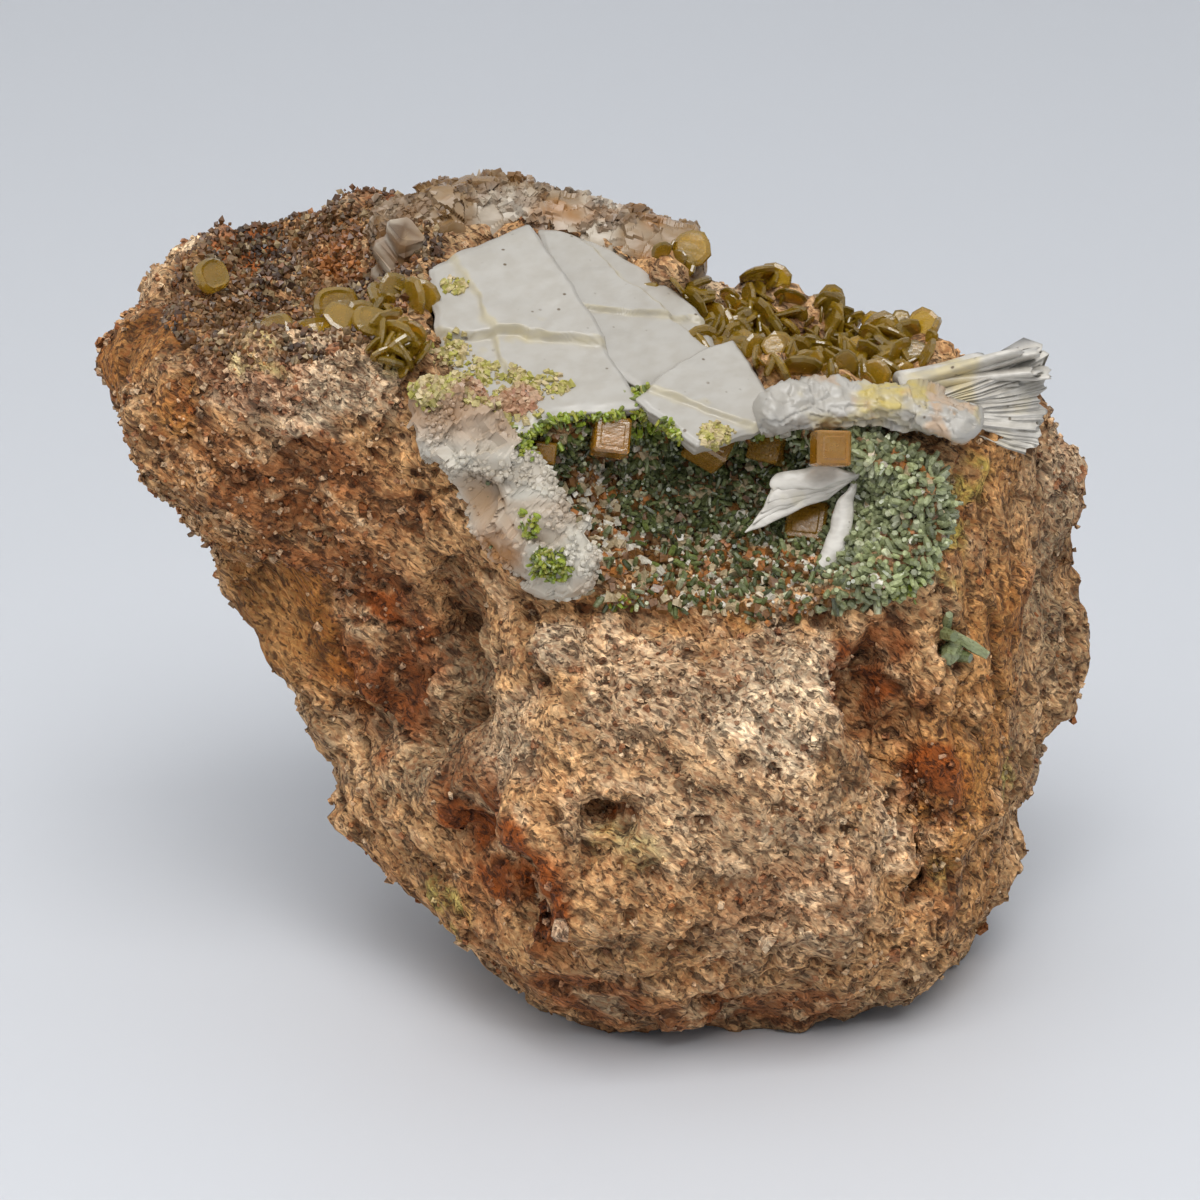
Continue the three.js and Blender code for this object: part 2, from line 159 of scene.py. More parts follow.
# Broad forms of the rock's face that are carved in (below 0) or raised: (heart, radius, height)
CARVED = (
    ((-9.6, -11.0, 29.5), 3.2, -1.6),
    ((-9.8, -12.4, 25.0), 3.8, -2.2),
    ((-11.8, -11.2, 21.0), 3.4, -1.8),
    ((2.7, -14.9, 29.7), 1.2, -0.8),
    ((5.5, -15.1, 29.9), 1.2, -0.8),
    ((8.3, -15.4, 30.0), 1.2, -0.8),
    ((11.2, -15.2, 29.8), 1.2, -0.8),
    ((14.0, -14.8, 29.4), 1.3, -0.9),
    ((15.9, -15.9, 25.3), 3.0, -2.4),
    ((17.4, -14.7, 28.0), 1.9, -1.3),
    ((18.2, -15.4, 21.6), 2.2, -1.2),
    ((-8.6, -16.9, 16.0), 3.2, -2.0),
    ((-5.8, -20.6, 13.4), 3.4, -2.2),
    ((-3.0, -20.4, 10.2), 2.4, -1.0),
    ((-9.4, -15.8, 19.8), 2.4, 0.9),
    ((-4.6, -19.6, 18.0), 2.6, 0.8),
    ((1.0, -22.0, 19.4), 1.0, -1.8),
    ((12.2, -18.0, 26.0), 3.2, 0.8),
    ((3.0, -18.6, 26.6), 3.4, 0.7),
    ((-2.9, -16.6, 28.6), 1.9, 1.0),
    ((-15.2, -7.2, 22.6), 1.8, 0.8),
    ((-16.6, -6.2, 18.8), 2.4, -0.8),
    ((19.2, -15.2, 15.0), 2.6, 0.7),
    ((-22.0, -4.6, 27.0), 4.2, -0.7),
    ((23.0, -12.6, 23.6), 2.2, -0.8),
)

# Barite plates: name, place, turn and outline in the plane of the upper face, and the steps cleaved into that
# face, each as (a point on its edge, the direction that it drops in, its drop, its width)
PLATES = (
    (
        "main", (-3, -1, 47.8), (25, 4, 0),
        ((-7.8, 2.7), (-7.1, -2.8), (-4.7, -7.8), (-2, -11.4), (0.5, -9.7), (5.5, -8.7), (-1.6, 7.5)),
        (((-3.0, -3.1), (0.0, -1.0), 0.7, 0.3), ((-5.6, 2.0), (-0.93, -0.36), 0.3, 0.35)),
    ),
    (
        "rear", (4, 1.5, 46.6), (20, 12, 0),
        ((-8, 6.4), (-5, -5.5), (-1.4, -8), (3.2, -3.4), (3.5, -1.6), (1.9, 1.6), (-1.4, 4.6), (-4.8, 6.8)),
        (((-2.3, -0.6), (0.1, -1.0), 0.4, 0.28), ((-3.0, 3.4), (0.7, 0.71), 0.35, 0.3)),
    ),
    (
        "side", (8, -6, 44), (28, 12, 0),
        ((-5.5, -2.4), (-3.9, -3.9), (-1.9, -5.6), (2.3, -3.1), (2.8, -1.6), (0.4, 3.5), (-1.8, 1.9)),
        (((-1.0, -2.6), (-0.3, -0.95), 0.35, 0.28),),
    ),
)
PLATE_THICKNESS = 2.2
BLADE_PAINTED_LIGHT = 1.5  # how much paler the thin barite blades are drawn than the plates: painted light, making up for the lesser light that falls on them
UPPER_RINGS, SIDE_RINGS, LOWER_RINGS = 56, 14, 8
UNDERCUT = 0.9  # how far a plate's lower edge lies inside its upper one
PLATE_SKIN = 0.3  # how far a plate's edge is grown, to meet the rock that its solid keeps clear of

RIM_PATH = ((9.5, -7.8, 42.4), (15, -7.2, 42.6), (19.5, -7.4, 42.4), (23.6, -9, 41.6))
RIM_WIDTH, RIM_HEIGHT = 4.6, 2.7
CREST_PATH = ((-14.5, 8, 48.6), (-9.5, 11, 50.2), (-3.5, 11, 49.4), (2.5, 10, 48), (7, 9, 46.8))
CREST_WIDTH, CREST_HEIGHT = 6.2, 5.2
LIP_PATH = ((-11.6, -9.4, 44.4), (-8, -10.6, 41.4), (-5.2, -11.2, 37), (-1.2, -12.4, 32))
LIP_WIDTH, LIP_HEIGHT = 3.0, 5.6

SOCKET = (-7.9, -15.2, 38.0)  # dent in the lip where a crystal has come out

FAN_ROOT = (19, -3.5, 42.6)
FAN_BLADES = 12
FAN_SHEET_ROOT = (18.6, -10.0, 42.2)  # where the lines of its front spread from, in the frame
FAN_LENGTH = 10.4

HOOK_PLACE, HOOK_TURN = (12.8, -7, 37.1), (64, 0, 4)

AMBER_TURNS = {
    "roof_left": (62, 8, 40), "roof_middle": (50, 20, 20), "roof_right": (64, -24, 30),
    "under_rim": (70, 10, 44), "under_blade": (58, -12, 36), "left": (80, 0, 38), "small": (66, 16, 30),
}
AMBER_SIZES = {
    "roof_left": (2.3, 2.0), "roof_middle": (2.5, 2.5), "roof_right": (2.2, 2.0), "under_rim": (2.2, 2.1),
    "under_blade": (2.6, 2.8), "left": (1.4, 2.2), "small": (1.2, 1.0),
}
YELLOW_MASSES = (((-14.5, -7.2, 47.0), 2.0), ((-12.9, -10.0, 46.1), 2.0), ((-12.8, -4.0, 47.5), 1.6))
TABLETS = {
    "front": (3.3, 1.0, (28, 10, 20)), "back": (3.0, 1.1, (66, 16, 10)), "edge": (2.8, 0.9, (56, -34, 0)),
    "left": (2.6, 1.2, (50, 40, 35)), "right": (2.6, 1.0, (34, 22, 0)),
}


def paint(code):
    """Scene-linear colour of a six-digit sRGB code."""
    levels = np.array([int(code[k:k + 2], 16) for k in (0, 2, 4)]) / 255
    linear = np.where(levels <= 0.04045, levels / 12.92, ((levels + 0.055) / 1.055) ** 2.4)
    return tuple(float(level) for level in linear)


def colour(name, description, code):
    return FloatVectorProperty(
        name=name, description=description, subtype="COLOR", size=3, min=0, max=1, default=paint(code))


def length(name, description, millimetres):
    return FloatProperty(
        name=name, description=description, subtype="DISTANCE", unit="LENGTH", min=0,
        default=millimetres * MM, precision=5)


def count(name, description, number):
    return IntProperty(name=name, description=description, min=1, default=number)


# Settings


class RockSettings(bpy.types.PropertyGroup):
    mesh_step: length("Mesh step", "Width of one face of the rock's mesh", 0.38)
    lump_height: length("Lump height", "Height of the broad swellings", 0.5)
    chip_height: length("Chip height", "Height of the broken facets", 0.75)
    grain_height: length("Grain height", "Height of the grains and streaks", 0.2)
    grains: count("Loose grains", "Number of separate grains on the surface", 6500)
    tan: colour("Tan", "Fresh rock", "BE9466")
    cream: colour("Cream", "Bleached rock", "E6CCA9")
    grey: colour("Grey", "Weathered rock", "A38C6C")
    ochre: colour("Ochre", "Light iron stain", "C2802F")
    rust: colour("Rust", "Heavy iron stain", "8C4716")
    # Umber is the painted shade in the rock's recesses, and also the colour of its shader's pits.
    umber: colour("Umber", "Bottom of pits and cracks", "341A0A")
    lime: colour("Lime", "Yellow-green film", "B3AE45")


class BariteSettings(bpy.types.PropertyGroup):
    raggedness: length("Raggedness", "How far the broken edges wander", 0.16)
    milk: colour("Milk", "Clean barite", "B4AFA6")
    shade: colour("Shade", "Greyer layers", "A9A296")
    tint: colour("Tint", "Yellow film", "C4AB3E")


class QuartzSettings(bpy.types.PropertyGroup):
    points: count("Points", "Number of quartz points on the lip", 1500)
    smoky: colour("Smoky", "Crest behind the plates", "9C7B52")
    clear: colour("Clear", "Paler quartz", "EBE3D2")
    stained: colour("Stained", "Iron-stained quartz", "B0793A")


class PyromorphiteSettings(bpy.types.PropertyGroup):
    barrels: count("Barrels", "Number of barrels in the pocket", 3700)
    radius: length("Radius", "Mean radius of a barrel", 0.2)
    reach: length("Length", "Mean length of a barrel", 0.75)
    deep: colour("Deep", "Middle of the pocket", "616B3C")
    pale: colour("Pale", "Right side of the pocket", "A6AD80")
    lime: colour("Lime", "Fringe under the plates", "A0B62E")


class WulfeniteSettings(bpy.types.PropertyGroup):
    tablets: count("Tablets", "Number of tablets in the basin", 360)
    width: length("Width", "Mean width of a tablet in the basin", 1.75)
    honey: colour("Honey", "Tablets", "E0B32C")
    olive: colour("Olive", "Thicker tablets", "B08E26")
    amber: colour("Amber", "Blocks in the pocket", "DA9A26")


class DruseSettings(bpy.types.PropertyGroup):
    grains: count("Grains", "Number of grains in the shoulder hollow", 6500)
    width: length("Width", "Mean width of a grain", 0.4)
    brown: colour("Brown", "Most grains", "7F5528")
    dark: colour("Dark", "Deep grains", "4C2E12")
    cream: colour("Cream", "Pale grains", "CDB893")
    orange: colour("Orange", "Iron-stained grains", "C07A3C")


class StageSettings(bpy.types.PropertyGroup):
    # Floor is the sweep's colour near the specimen; farther out the sweep is painted paler, as painted light.
    floor: colour("Floor", "Plain sweep under and behind the specimen", "D9DBDF")
    field: length("Field", "Width that the picture shows at the specimen", 79.2)
    distance: length("Distance", "Camera to specimen", 225)
    elevation: FloatProperty(
        name="Elevation", description="How far the camera looks down", subtype="ANGLE",
        default=np.radians(20))
    key_power: FloatProperty(name="Key", description="Large soft light", subtype="POWER", default=2.25)
    fill_power: FloatProperty(
        name="Fill", description="Soft light from the left", subtype="POWER", default=0.5)


# Number fields


def smooth(low, high, values):
    """0 at low, 1 at high and 3t2 - 2t3 between them."""
    t = np.clip((values - low) / (high - low), 0, 1)
    return t * t * (3 - 2 * t)


def mixed(first, second, share):
    """first where share is 0 and second where it is 1, for colours or points in rows."""
    share = np.clip(share, 0, 1)[:, None]
    return first * (1 - share) + np.asarray(second) * share


def even_tone(tone, number):
    """One colour in this many rows."""
    return np.tile(np.array(tone), (number, 1))


def random_at(cells, seed):
    """A repeatable number from 0 to 1 for each whole-number cell.

    Its coordinates are multiplied, folded and shifted.
    """
    cells = cells.astype(np.int64)
    folded = (cells[..., 0] * 73856093) ^ (cells[..., 1] * 19349663) ^ (cells[..., 2] * 83492791)
    folded = (folded ^ (seed * 2654435761)) & 0xFFFFFFFF
    folded = ((folded ^ (folded >> 15)) * 2246822519) & 0xFFFFFFFF
    folded = ((folded ^ (folded >> 13)) * 3266489917) & 0xFFFFFFFF
    return (folded ^ (folded >> 16)) / 4294967296.0


def noise(points, size, seed):
    """Smooth noise from -1 to 1.

    Random numbers at the corners of cubes of this size, eased into each other.
    """
    scaled = points / size
    cell = np.floor(scaled)
    t = scaled - cell
    t = t * t * (3 - 2 * t)
    total = np.zeros(len(points))
    for corner in np.ndindex(2, 2, 2):
        weight = np.prod(np.where(corner, t, 1 - t), axis=1)
        total += weight * random_at(cell + corner, seed)
    return 2 * total - 1


def fractal(points, size, seed, octaves):
    """Noise at a size and its halves, each half as high as the one before."""
    return sum(noise(points, size / 2 ** k, seed + k) / 2 ** k for k in range(octaves))


def nearest_cells(points, size, seed):
    """Distance, in cubes, to the nearest of one random heart per cube, and the way from it and its cube."""
    scaled = points / size
    base = np.floor(scaled)
    best = np.full(len(points), 9.0)
    way = np.zeros_like(scaled)
    home = np.zeros_like(scaled)
    for offset in np.ndindex(3, 3, 3):
        cell = base + offset - 1
        gap = scaled - cell - np.stack([random_at(cell, seed + k) for k in range(3)], 1)
        far = np.linalg.norm(gap, axis=1)
        closer = far < best
        best = np.where(closer, far, best)
        way[closer] = gap[closer]
        home[closer] = cell[closer]
    return best, way, home


def chips(points, size, seed):
    """Broken facets from -1 to 1.

    Each random cell is a plane of its own tilt, so cells meet in edges and steps.
    """
    _, way, home = nearest_cells(points, size, seed)
    tilt = 2 * np.stack([random_at(home, seed + 11 + k) for k in range(3)], 1) - 1
    return np.clip(np.einsum("ij,ij->i", way, tilt) + random_at(home, seed + 17) - 0.5, -1, 1)


def stretched(points, direction, factor):
    """Points pressed together along a direction, so that what is drawn with them runs along it."""
    axis = np.asarray(direction) / np.linalg.norm(direction)
    return points - np.outer(points @ axis * (1 - 1 / factor), axis)


def turned(degrees):
    """Rotation about Z, then Y, then X by these angles."""
    x, y, z = np.radians(degrees)
    about_x = np.array(((1, 0, 0), (0, np.cos(x), -np.sin(x)), (0, np.sin(x), np.cos(x))))
    about_y = np.array(((np.cos(y), 0, np.sin(y)), (0, 1, 0), (-np.sin(y), 0, np.cos(y))))
    about_z = np.array(((np.cos(z), -np.sin(z), 0), (np.sin(z), np.cos(z), 0), (0, 0, 1)))
    return about_x @ about_y @ about_z


def in_hollow(points, hollow):
    """1 on the wall of an egg-shaped hollow and inside it, fading to 0 just outside.

    It follows the radius in the hollow's own scaled space.
    """
    place, radii, turn = hollow
    local = (points - np.array(place) - ORIGIN) @ turned(turn) / np.array(radii)
    return smooth(1.16, 1.05, np.linalg.norm(local, axis=1))


def near(points, heart, radius):
    """1 at a heart, fading to 0 at a radius."""
    return smooth(1.0, 0.3, np.linalg.norm(points - np.asarray(heart), axis=1) / radius)


# Shapes: each is (points, quads, triangles)


def tube_faces(rows, columns):
    """Quads of a grid that closes across its columns, and triangles from each end row to a pole of its own.

    Point 0 is the first pole, the rows follow, and the last point is the other pole.
    """
    row, column = np.meshgrid(np.arange(rows - 1), np.arange(columns), indexing="ij")
    here = 1 + row * columns + column
    beside = 1 + row * columns + (column + 1) % columns
    quads = np.stack((here, beside, beside + columns, here + columns), -1).reshape(-1, 4)
    ring = np.arange(columns)
    following = (ring + 1) % columns
    last = 1 + (rows - 1) * columns
    first_cap = np.stack((np.zeros(columns, int), 1 + following, 1 + ring), -1)
    last_cap = np.stack((np.full(columns, last + columns), last + ring, last + following), -1)
    return quads, np.concatenate((first_cap, last_cap))


def outward(points, quads, triangles):
    """The same shape, with its faces turned round where its signed volume is negative."""
    halves = np.concatenate((triangles, quads[:, [0, 1, 2]], quads[:, [0, 2, 3]]))
    a, b, c = (points[halves[:, k]] - points.mean(0) for k in range(3))
    if np.sum(a * np.cross(b, c)) < 0:
        return points, quads[:, ::-1], triangles[:, ::-1]
    return points, quads, triangles


def loft(rings, poles=None):
    """A closed skin through rings (rows, columns, 3).

    Its poles are the middles of the end rings unless given.
    """
    rows, columns = rings.shape[:2]
    first, last = (rings[0].mean(0), rings[-1].mean(0)) if poles is None else poles
    points = np.concatenate((np.reshape(first, (1, 3)), rings.reshape(-1, 3), np.reshape(last, (1, 3))))
    return outward(points, *tube_faces(rows, columns))


def crystal(outline, profile, tip=0.0):
    """A flat outline carried up a profile of (width, height) rows and closed, the upper end by a tip."""
    profile = np.asarray(profile, float)
    rings = np.zeros((len(profile), len(outline), 3))
    rings[:, :, :2] = profile[:, None, :1] * np.asarray(outline)[None]
    rings[:, :, 2] = profile[:, 1:]
    return loft(rings, ((0, 0, profile[0, 1]), (0, 0, profile[-1, 1] + tip)))


def polygon(sides, power=2.0):
    """Corners at equal angles; a power above 2 swells the round towards a square."""
    angle = np.arange(sides) * 2 * np.pi / sides
    across = np.stack((np.cos(angle), np.sin(angle)), 1)
    return across / (np.abs(across) ** power).sum(1, keepdims=True) ** (1 / power)


def block_outline(cut):
    """A square of half-width 1 with its corners cut off."""
    one = 1 - cut
    return np.array(((1, -one), (1, one), (one, 1), (-one, 1), (-1, one), (-1, -one), (-one, -1), (one, -1)))


def chunk():
    """An uneven six-faced grain about the origin."""
    corners = np.array(list(np.ndindex(2, 2, 2)), float) - 0.5
    points = corners * (1 + 0.25 * np.sin(7 * corners[:, [1, 2, 0]] + 4 * corners[:, [2, 0, 1]]))
    quads = np.array(((0, 1, 3, 2), (4, 6, 7, 5), (0, 4, 5, 1), (2, 3, 7, 6), (0, 2, 6, 4), (1, 5, 7, 3)))
    return outward(points, quads, NO_TRIANGLES)


def dipyramid():
    """An eight-faced grain about the origin: a square between two points."""
    points = 0.62 * np.array(((1, 0, 0), (0, 1, 0), (-1, 0, 0), (0, -1, 0), (0, 0, 1), (0, 0, -1)), float)
    ring = np.arange(4)
    following = (ring + 1) % 4
    upper = np.stack((ring, following, np.full(4, 4)), 1)
    lower = np.stack((following, ring, np.full(4, 5)), 1)
    return points, np.zeros((0, 4), int), np.concatenate((upper, lower))


def copies(shape, places, turns, sizes):
    """A shape repeated: each copy is scaled along its own axes, turned and put in its place."""
    points, quads, triangles = shape
    placed = np.einsum("mij,mnj->mni", turns, points[None] * sizes[:, None, :]) + places[:, None, :]
    step = (np.arange(len(places)) * len(points))[:, None, None]
    return placed.reshape(-1, 3), (quads + step).reshape(-1, 4), (triangles + step).reshape(-1, 3)


def joined(shapes):
    """Several shapes in one mesh."""
    starts = np.cumsum([0] + [len(shape[0]) for shape in shapes])[:-1]
    return (
        np.concatenate([shape[0] for shape in shapes]),
        np.concatenate([shape[1] + start for shape, start in zip(shapes, starts)]),
        np.concatenate([shape[2] + start for shape, start in zip(shapes, starts)]),
    )


def standing(axes, spins):
    """Rotations whose third axis is the given one and whose first two are spun about it."""
    up = axes / np.linalg.norm(axes, axis=1, keepdims=True)
    helper = np.where(np.abs(up[:, 2:]) < 0.9, (0.0, 0.0, 1.0), (1.0, 0.0, 0.0))
    first = np.cross(helper, up)
    first /= np.linalg.norm(first, axis=1, keepdims=True)
    second = np.cross(up, first)
    cos, sin = np.cos(spins)[:, None], np.sin(spins)[:, None]
    return np.stack((cos * first + sin * second, cos * second - sin * first, up), 2)


def shaken(axes, disorder, chance):
    """Unit axes pushed off line by up to disorder in every direction."""
    pushed = axes + disorder * chance.uniform(-1, 1, axes.shape)
    return pushed / np.linalg.norm(pushed, axis=1, keepdims=True)


def spline(path, samples):
    """Points and tangents of a smooth curve through a path: a cubic through every four neighbours."""
    knots = np.asarray(path, float)
    knots = np.concatenate((2 * knots[:1] - knots[1:2], knots, 2 * knots[-1:] - knots[-2:-1]))
    along = np.linspace(0, len(path) - 1 - 1e-9, samples)
    piece = along.astype(int)
    t = (along - piece)[:, None]
    a, b, c, d = (knots[piece + k] for k in range(4))
    points = 0.5 * (
        2 * b + (c - a) * t + (2 * a - 5 * b + 4 * c - d) * t ** 2 + (3 * b - a - 3 * c + d) * t ** 3)
    tangents = np.gradient(points, axis=0)
    return points, tangents / np.linalg.norm(tangents, axis=1, keepdims=True)


def bar(path, width, height, rows, columns, end=0.35):
    """An oval bar along a path, rounded off at both ends.

    The oval's size grows from each end as a quarter circle.

    Returns the rings and the outward direction of every ring point.
    """
    points, tangents = spline(np.asarray(path) + ORIGIN, rows)
    side = np.cross(tangents, (0.0, 0.0, 1.0))
    side /= np.linalg.norm(side, axis=1, keepdims=True)
    rise = np.cross(side, tangents)
    share = np.linspace(0, 1, rows)
    to_end = np.clip(np.minimum(share, 1 - share) / (0.5 * end), 0.015, 1)
    size = np.sqrt(1 - (1 - to_end) ** 2)
    angle = np.arange(columns) * 2 * np.pi / columns
    out = (
        np.cos(angle)[None, :, None] * side[:, None] * width / 2
        + np.sin(angle)[None, :, None] * rise[:, None] * height / 2
    )
    rings = points[:, None] + size[:, None, None] * out
    return rings, out / np.linalg.norm(out, axis=2, keepdims=True)


# Meshes


def surface(name, shape, material, stands_for=(), tones=None, rounded=False):
    """Puts a shape into a mesh in metres, with a colour for every point, and lets it ride on the specimen."""
    points, quads, triangles = shape
    mesh = bpy.data.meshes.new(name)
    mesh.vertices.add(len(points))
    mesh.vertices.foreach_set("co", (points * MM).astype(np.float32).ravel())
    corners = np.concatenate((quads.ravel(), triangles.ravel())).astype(np.int32)
    sides = np.concatenate((np.full(len(quads), 4), np.full(len(triangles), 3)))
    mesh.loops.add(len(corners))
    mesh.loops.foreach_set("vertex_index", corners)
    mesh.polygons.add(len(sides))
    mesh.polygons.foreach_set("loop_start", (np.cumsum(sides) - sides).astype(np.int32))
    mesh.polygons.foreach_set("use_smooth", np.full(len(sides), rounded))
    mesh.update(calc_edges=True)
    if mesh.validate():
        raise RuntimeError(f"{name} has faces that had to be mended")
    if tones is not None:
        rows = np.ones((len(points), 4), np.float32)
        rows[:, :3] = np.clip(tones, 0, 1)
        mesh.attributes.new("tone", "FLOAT_COLOR", "POINT").data.foreach_set("color", rows.ravel())
    mesh.materials.append(material)
    piece = bpy.data.objects.new(name, mesh)
    bpy.context.scene.collection.objects.link(piece)
    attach(piece, "root")
    if stands_for:
        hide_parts(*stands_for)
    return piece


def quads_of(mesh):
    """The corners of a mesh of quads, one row for each face."""
    corners = np.zeros(len(mesh.loops), np.int32)
    mesh.loops.foreach_get("vertex_index", corners)
    return corners.reshape(-1, 4)


def points_of(mesh):
    points = np.zeros(3 * len(mesh.vertices), np.float32)
    mesh.vertices.foreach_get("co", points)
    return points.reshape(-1, 3).astype(float)


def normals_of(mesh):
    normals = np.zeros(3 * len(mesh.vertices), np.float32)
    mesh.vertex_normals.foreach_get("vector", normals)
    return normals.reshape(-1, 3).astype(float)


def skin(*names):
    """Points in millimetres and normals of finished pieces, to seat crystals on."""
    meshes = [bpy.data.objects[name].data for name in names]
    points = np.concatenate([points_of(mesh) / MM for mesh in meshes])
    return points, np.concatenate([normals_of(mesh) for mesh in meshes])


def even_mesh(node, step):
    """A copy of a node's mesh in millimetres, rebuilt as even quads of about one step.

    Returns its points and quads.
    """
    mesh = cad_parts[node].data.copy()
    mesh.transform(Matrix.Scale(1 / MM, 4))
    copy = bpy.data.objects.new(node + "_copy", mesh)
    bpy.context.scene.collection.objects.link(copy)
    copy.modifiers.new("weld", "WELD").merge_threshold = 0.001
    remesh = copy.modifiers.new("remesh", "REMESH")
    remesh.mode = "VOXEL"
    remesh.voxel_size = step
    made = copy.evaluated_get(bpy.context.evaluated_depsgraph_get()).to_mesh()
    points, quads = points_of(made), quads_of(made)
    bpy.data.objects.remove(copy)
    bpy.data.meshes.remove(mesh)
    return points, quads


def relaxed(values, quads, rounds):
    """Each point's row moves halfway to the mean of its neighbours' rows, this many times."""
    start = np.concatenate([quads[:, k] for k in range(4)])
    end = np.concatenate([quads[:, (k + 1) % 4] for k in range(4)])
    degree = np.maximum(np.bincount(start, minlength=len(values)), 1)[:, None]
    for _ in range(rounds):
        sums = [np.bincount(start, values[end, axis], len(values)) for axis in range(values.shape[1])]
        values = 0.5 * values + 0.5 * np.stack(sums, 1) / degree
    return values


def quad_normals(points, quads):
    """Unit normals at the points of a mesh of quads, from the cross products of the quads' diagonals."""
    across = np.cross(points[quads[:, 2]] - points[quads[:, 0]], points[quads[:, 3]] - points[quads[:, 1]])
    sums = [np.bincount(quads.ravel(), np.repeat(across[:, axis], 4), len(points)) for axis in range(3)]
    total = np.stack(sums, 1)
    return total / np.maximum(np.linalg.norm(total, axis=1, keepdims=True), 1e-12)


def picked(chance, weights, number):
    """Different indices, drawn with these weights."""
    number = min(number, int(np.count_nonzero(weights)))
    if number == 0:
        raise RuntimeError("no surface to seat crystals on")
    return chance.choice(len(weights), number, replace=False, p=weights / weights.sum())


# Materials


def add(tree, kind, inputs=(), **settings):
    """A node with its settings, and its inputs set to values or linked to sockets."""
    made = tree.nodes.new(kind)
    for key, value in settings.items():
        setattr(made, key, value)
    for key, value in dict(inputs).items():
        if isinstance(value, bpy.types.NodeSocket):
            tree.links.new(value, made.inputs[key])
        else:
            made.inputs[key].default_value = value
    return made


def math(tree, operation, first, second=0.0, clamp=False):
    made = add(tree, "ShaderNodeMath", {0: first, 1: second}, operation=operation, use_clamp=clamp)
    return made.outputs[0]


def ranged(tree, value, low, high, bottom=0.0, top=1.0):
    """A value mapped from low..high to bottom..top and held there."""
    made = add(tree, "ShaderNodeMapRange", {0: value, 1: low, 2: high, 3: bottom, 4: top}, clamp=True)
    return made.outputs[0]


def tinted(tree, share, first, second, blend="MIX"):
    """Two colours mixed by a share."""
    made = add(tree, "ShaderNodeMix", {0: share, 6: first, 7: second}, data_type="RGBA", blend_type=blend)
    return made.outputs[2]


def rgba(code_or_colour):
    return (*tuple(code_or_colour)[:3], 1.0)


def group(name, inputs, outputs):
    """An empty shader node group with named value inputs and outputs, and its two end nodes."""
    tree = bpy.data.node_groups.new(name, "ShaderNodeTree")
    for label, default in inputs:
        socket = tree.interface.new_socket(label, in_out="INPUT", socket_type="NodeSocketFloat")
        socket.default_value = default
    for label in outputs:
        tree.interface.new_socket(label, in_out="OUTPUT", socket_type="NodeSocketFloat")
    return tree, tree.nodes.new("NodeGroupInput").outputs, tree.nodes.new("NodeGroupOutput").inputs


def grain_group():
    """Crumbly mineral surface: speckles, one random value per grain, pits, and a height that joins them."""
    found = bpy.data.node_groups.get("crumbly_grain")
    if found:
        return found
    tree, given, out = group(
        "crumbly_grain", (("Scale", 2200.0), ("Pit Share", 0.4)), ("Speckle", "Grain", "Pit", "Height"))
    object_place = add(tree, "ShaderNodeTexCoord").outputs["Object"]
    along_beds = {"Vector": object_place, "Rotation": (0.0, 0.68, 0.0), "Scale": (1.9, 1.0, 1.0)}
    place = add(tree, "ShaderNodeMapping", along_beds, vector_type="TEXTURE").outputs[0]
    wander = add(tree, "ShaderNodeTexNoise", {"Vector": place, "Scale": 1500.0, "Detail": 1.0})
    push = {0: wander.outputs["Color"], "Scale": 0.0005}
    shift = add(tree, "ShaderNodeVectorMath", push, operation="SCALE").outputs[0]
    crooked = add(tree, "ShaderNodeVectorMath", {0: place, 1: shift}, operation="ADD").outputs[0]
    cell = add(tree, "ShaderNodeTexVoronoi", {"Vector": crooked, "Scale": given["Scale"]})
    grain = add(tree, "ShaderNodeSeparateColor", {0: cell.outputs["Color"]}).outputs[0]
    fine = math(tree, "MULTIPLY", given["Scale"], 2.1)
    speckle = add(tree, "ShaderNodeTexNoise", {"Vector": crooked, "Scale": fine, "Detail": 1.0}).outputs[0]
    coarse = math(tree, "MULTIPLY", given["Scale"], 0.55)
    holes = add(
        tree, "ShaderNodeTexNoise", {"Vector": crooked, "Scale": coarse, "Detail": 2.0, "Roughness": 0.65})
    edge = math(tree, "ADD", given["Pit Share"], -0.09)
    pit = ranged(tree, holes.outputs[0], given["Pit Share"], edge)
    dome = math(tree, "SUBTRACT", 0.7, cell.outputs["Distance"])
    rough = math(tree, "ADD", math(tree, "MULTIPLY", speckle, 0.6), math(tree, "MULTIPLY", dome, 0.5))
    height = math(tree, "SUBTRACT", rough, math(tree, "MULTIPLY", pit, 0.6))
    for label, socket in (("Speckle", speckle), ("Grain", grain), ("Pit", pit), ("Height", height)):
        tree.links.new(socket, out[label])
    return tree


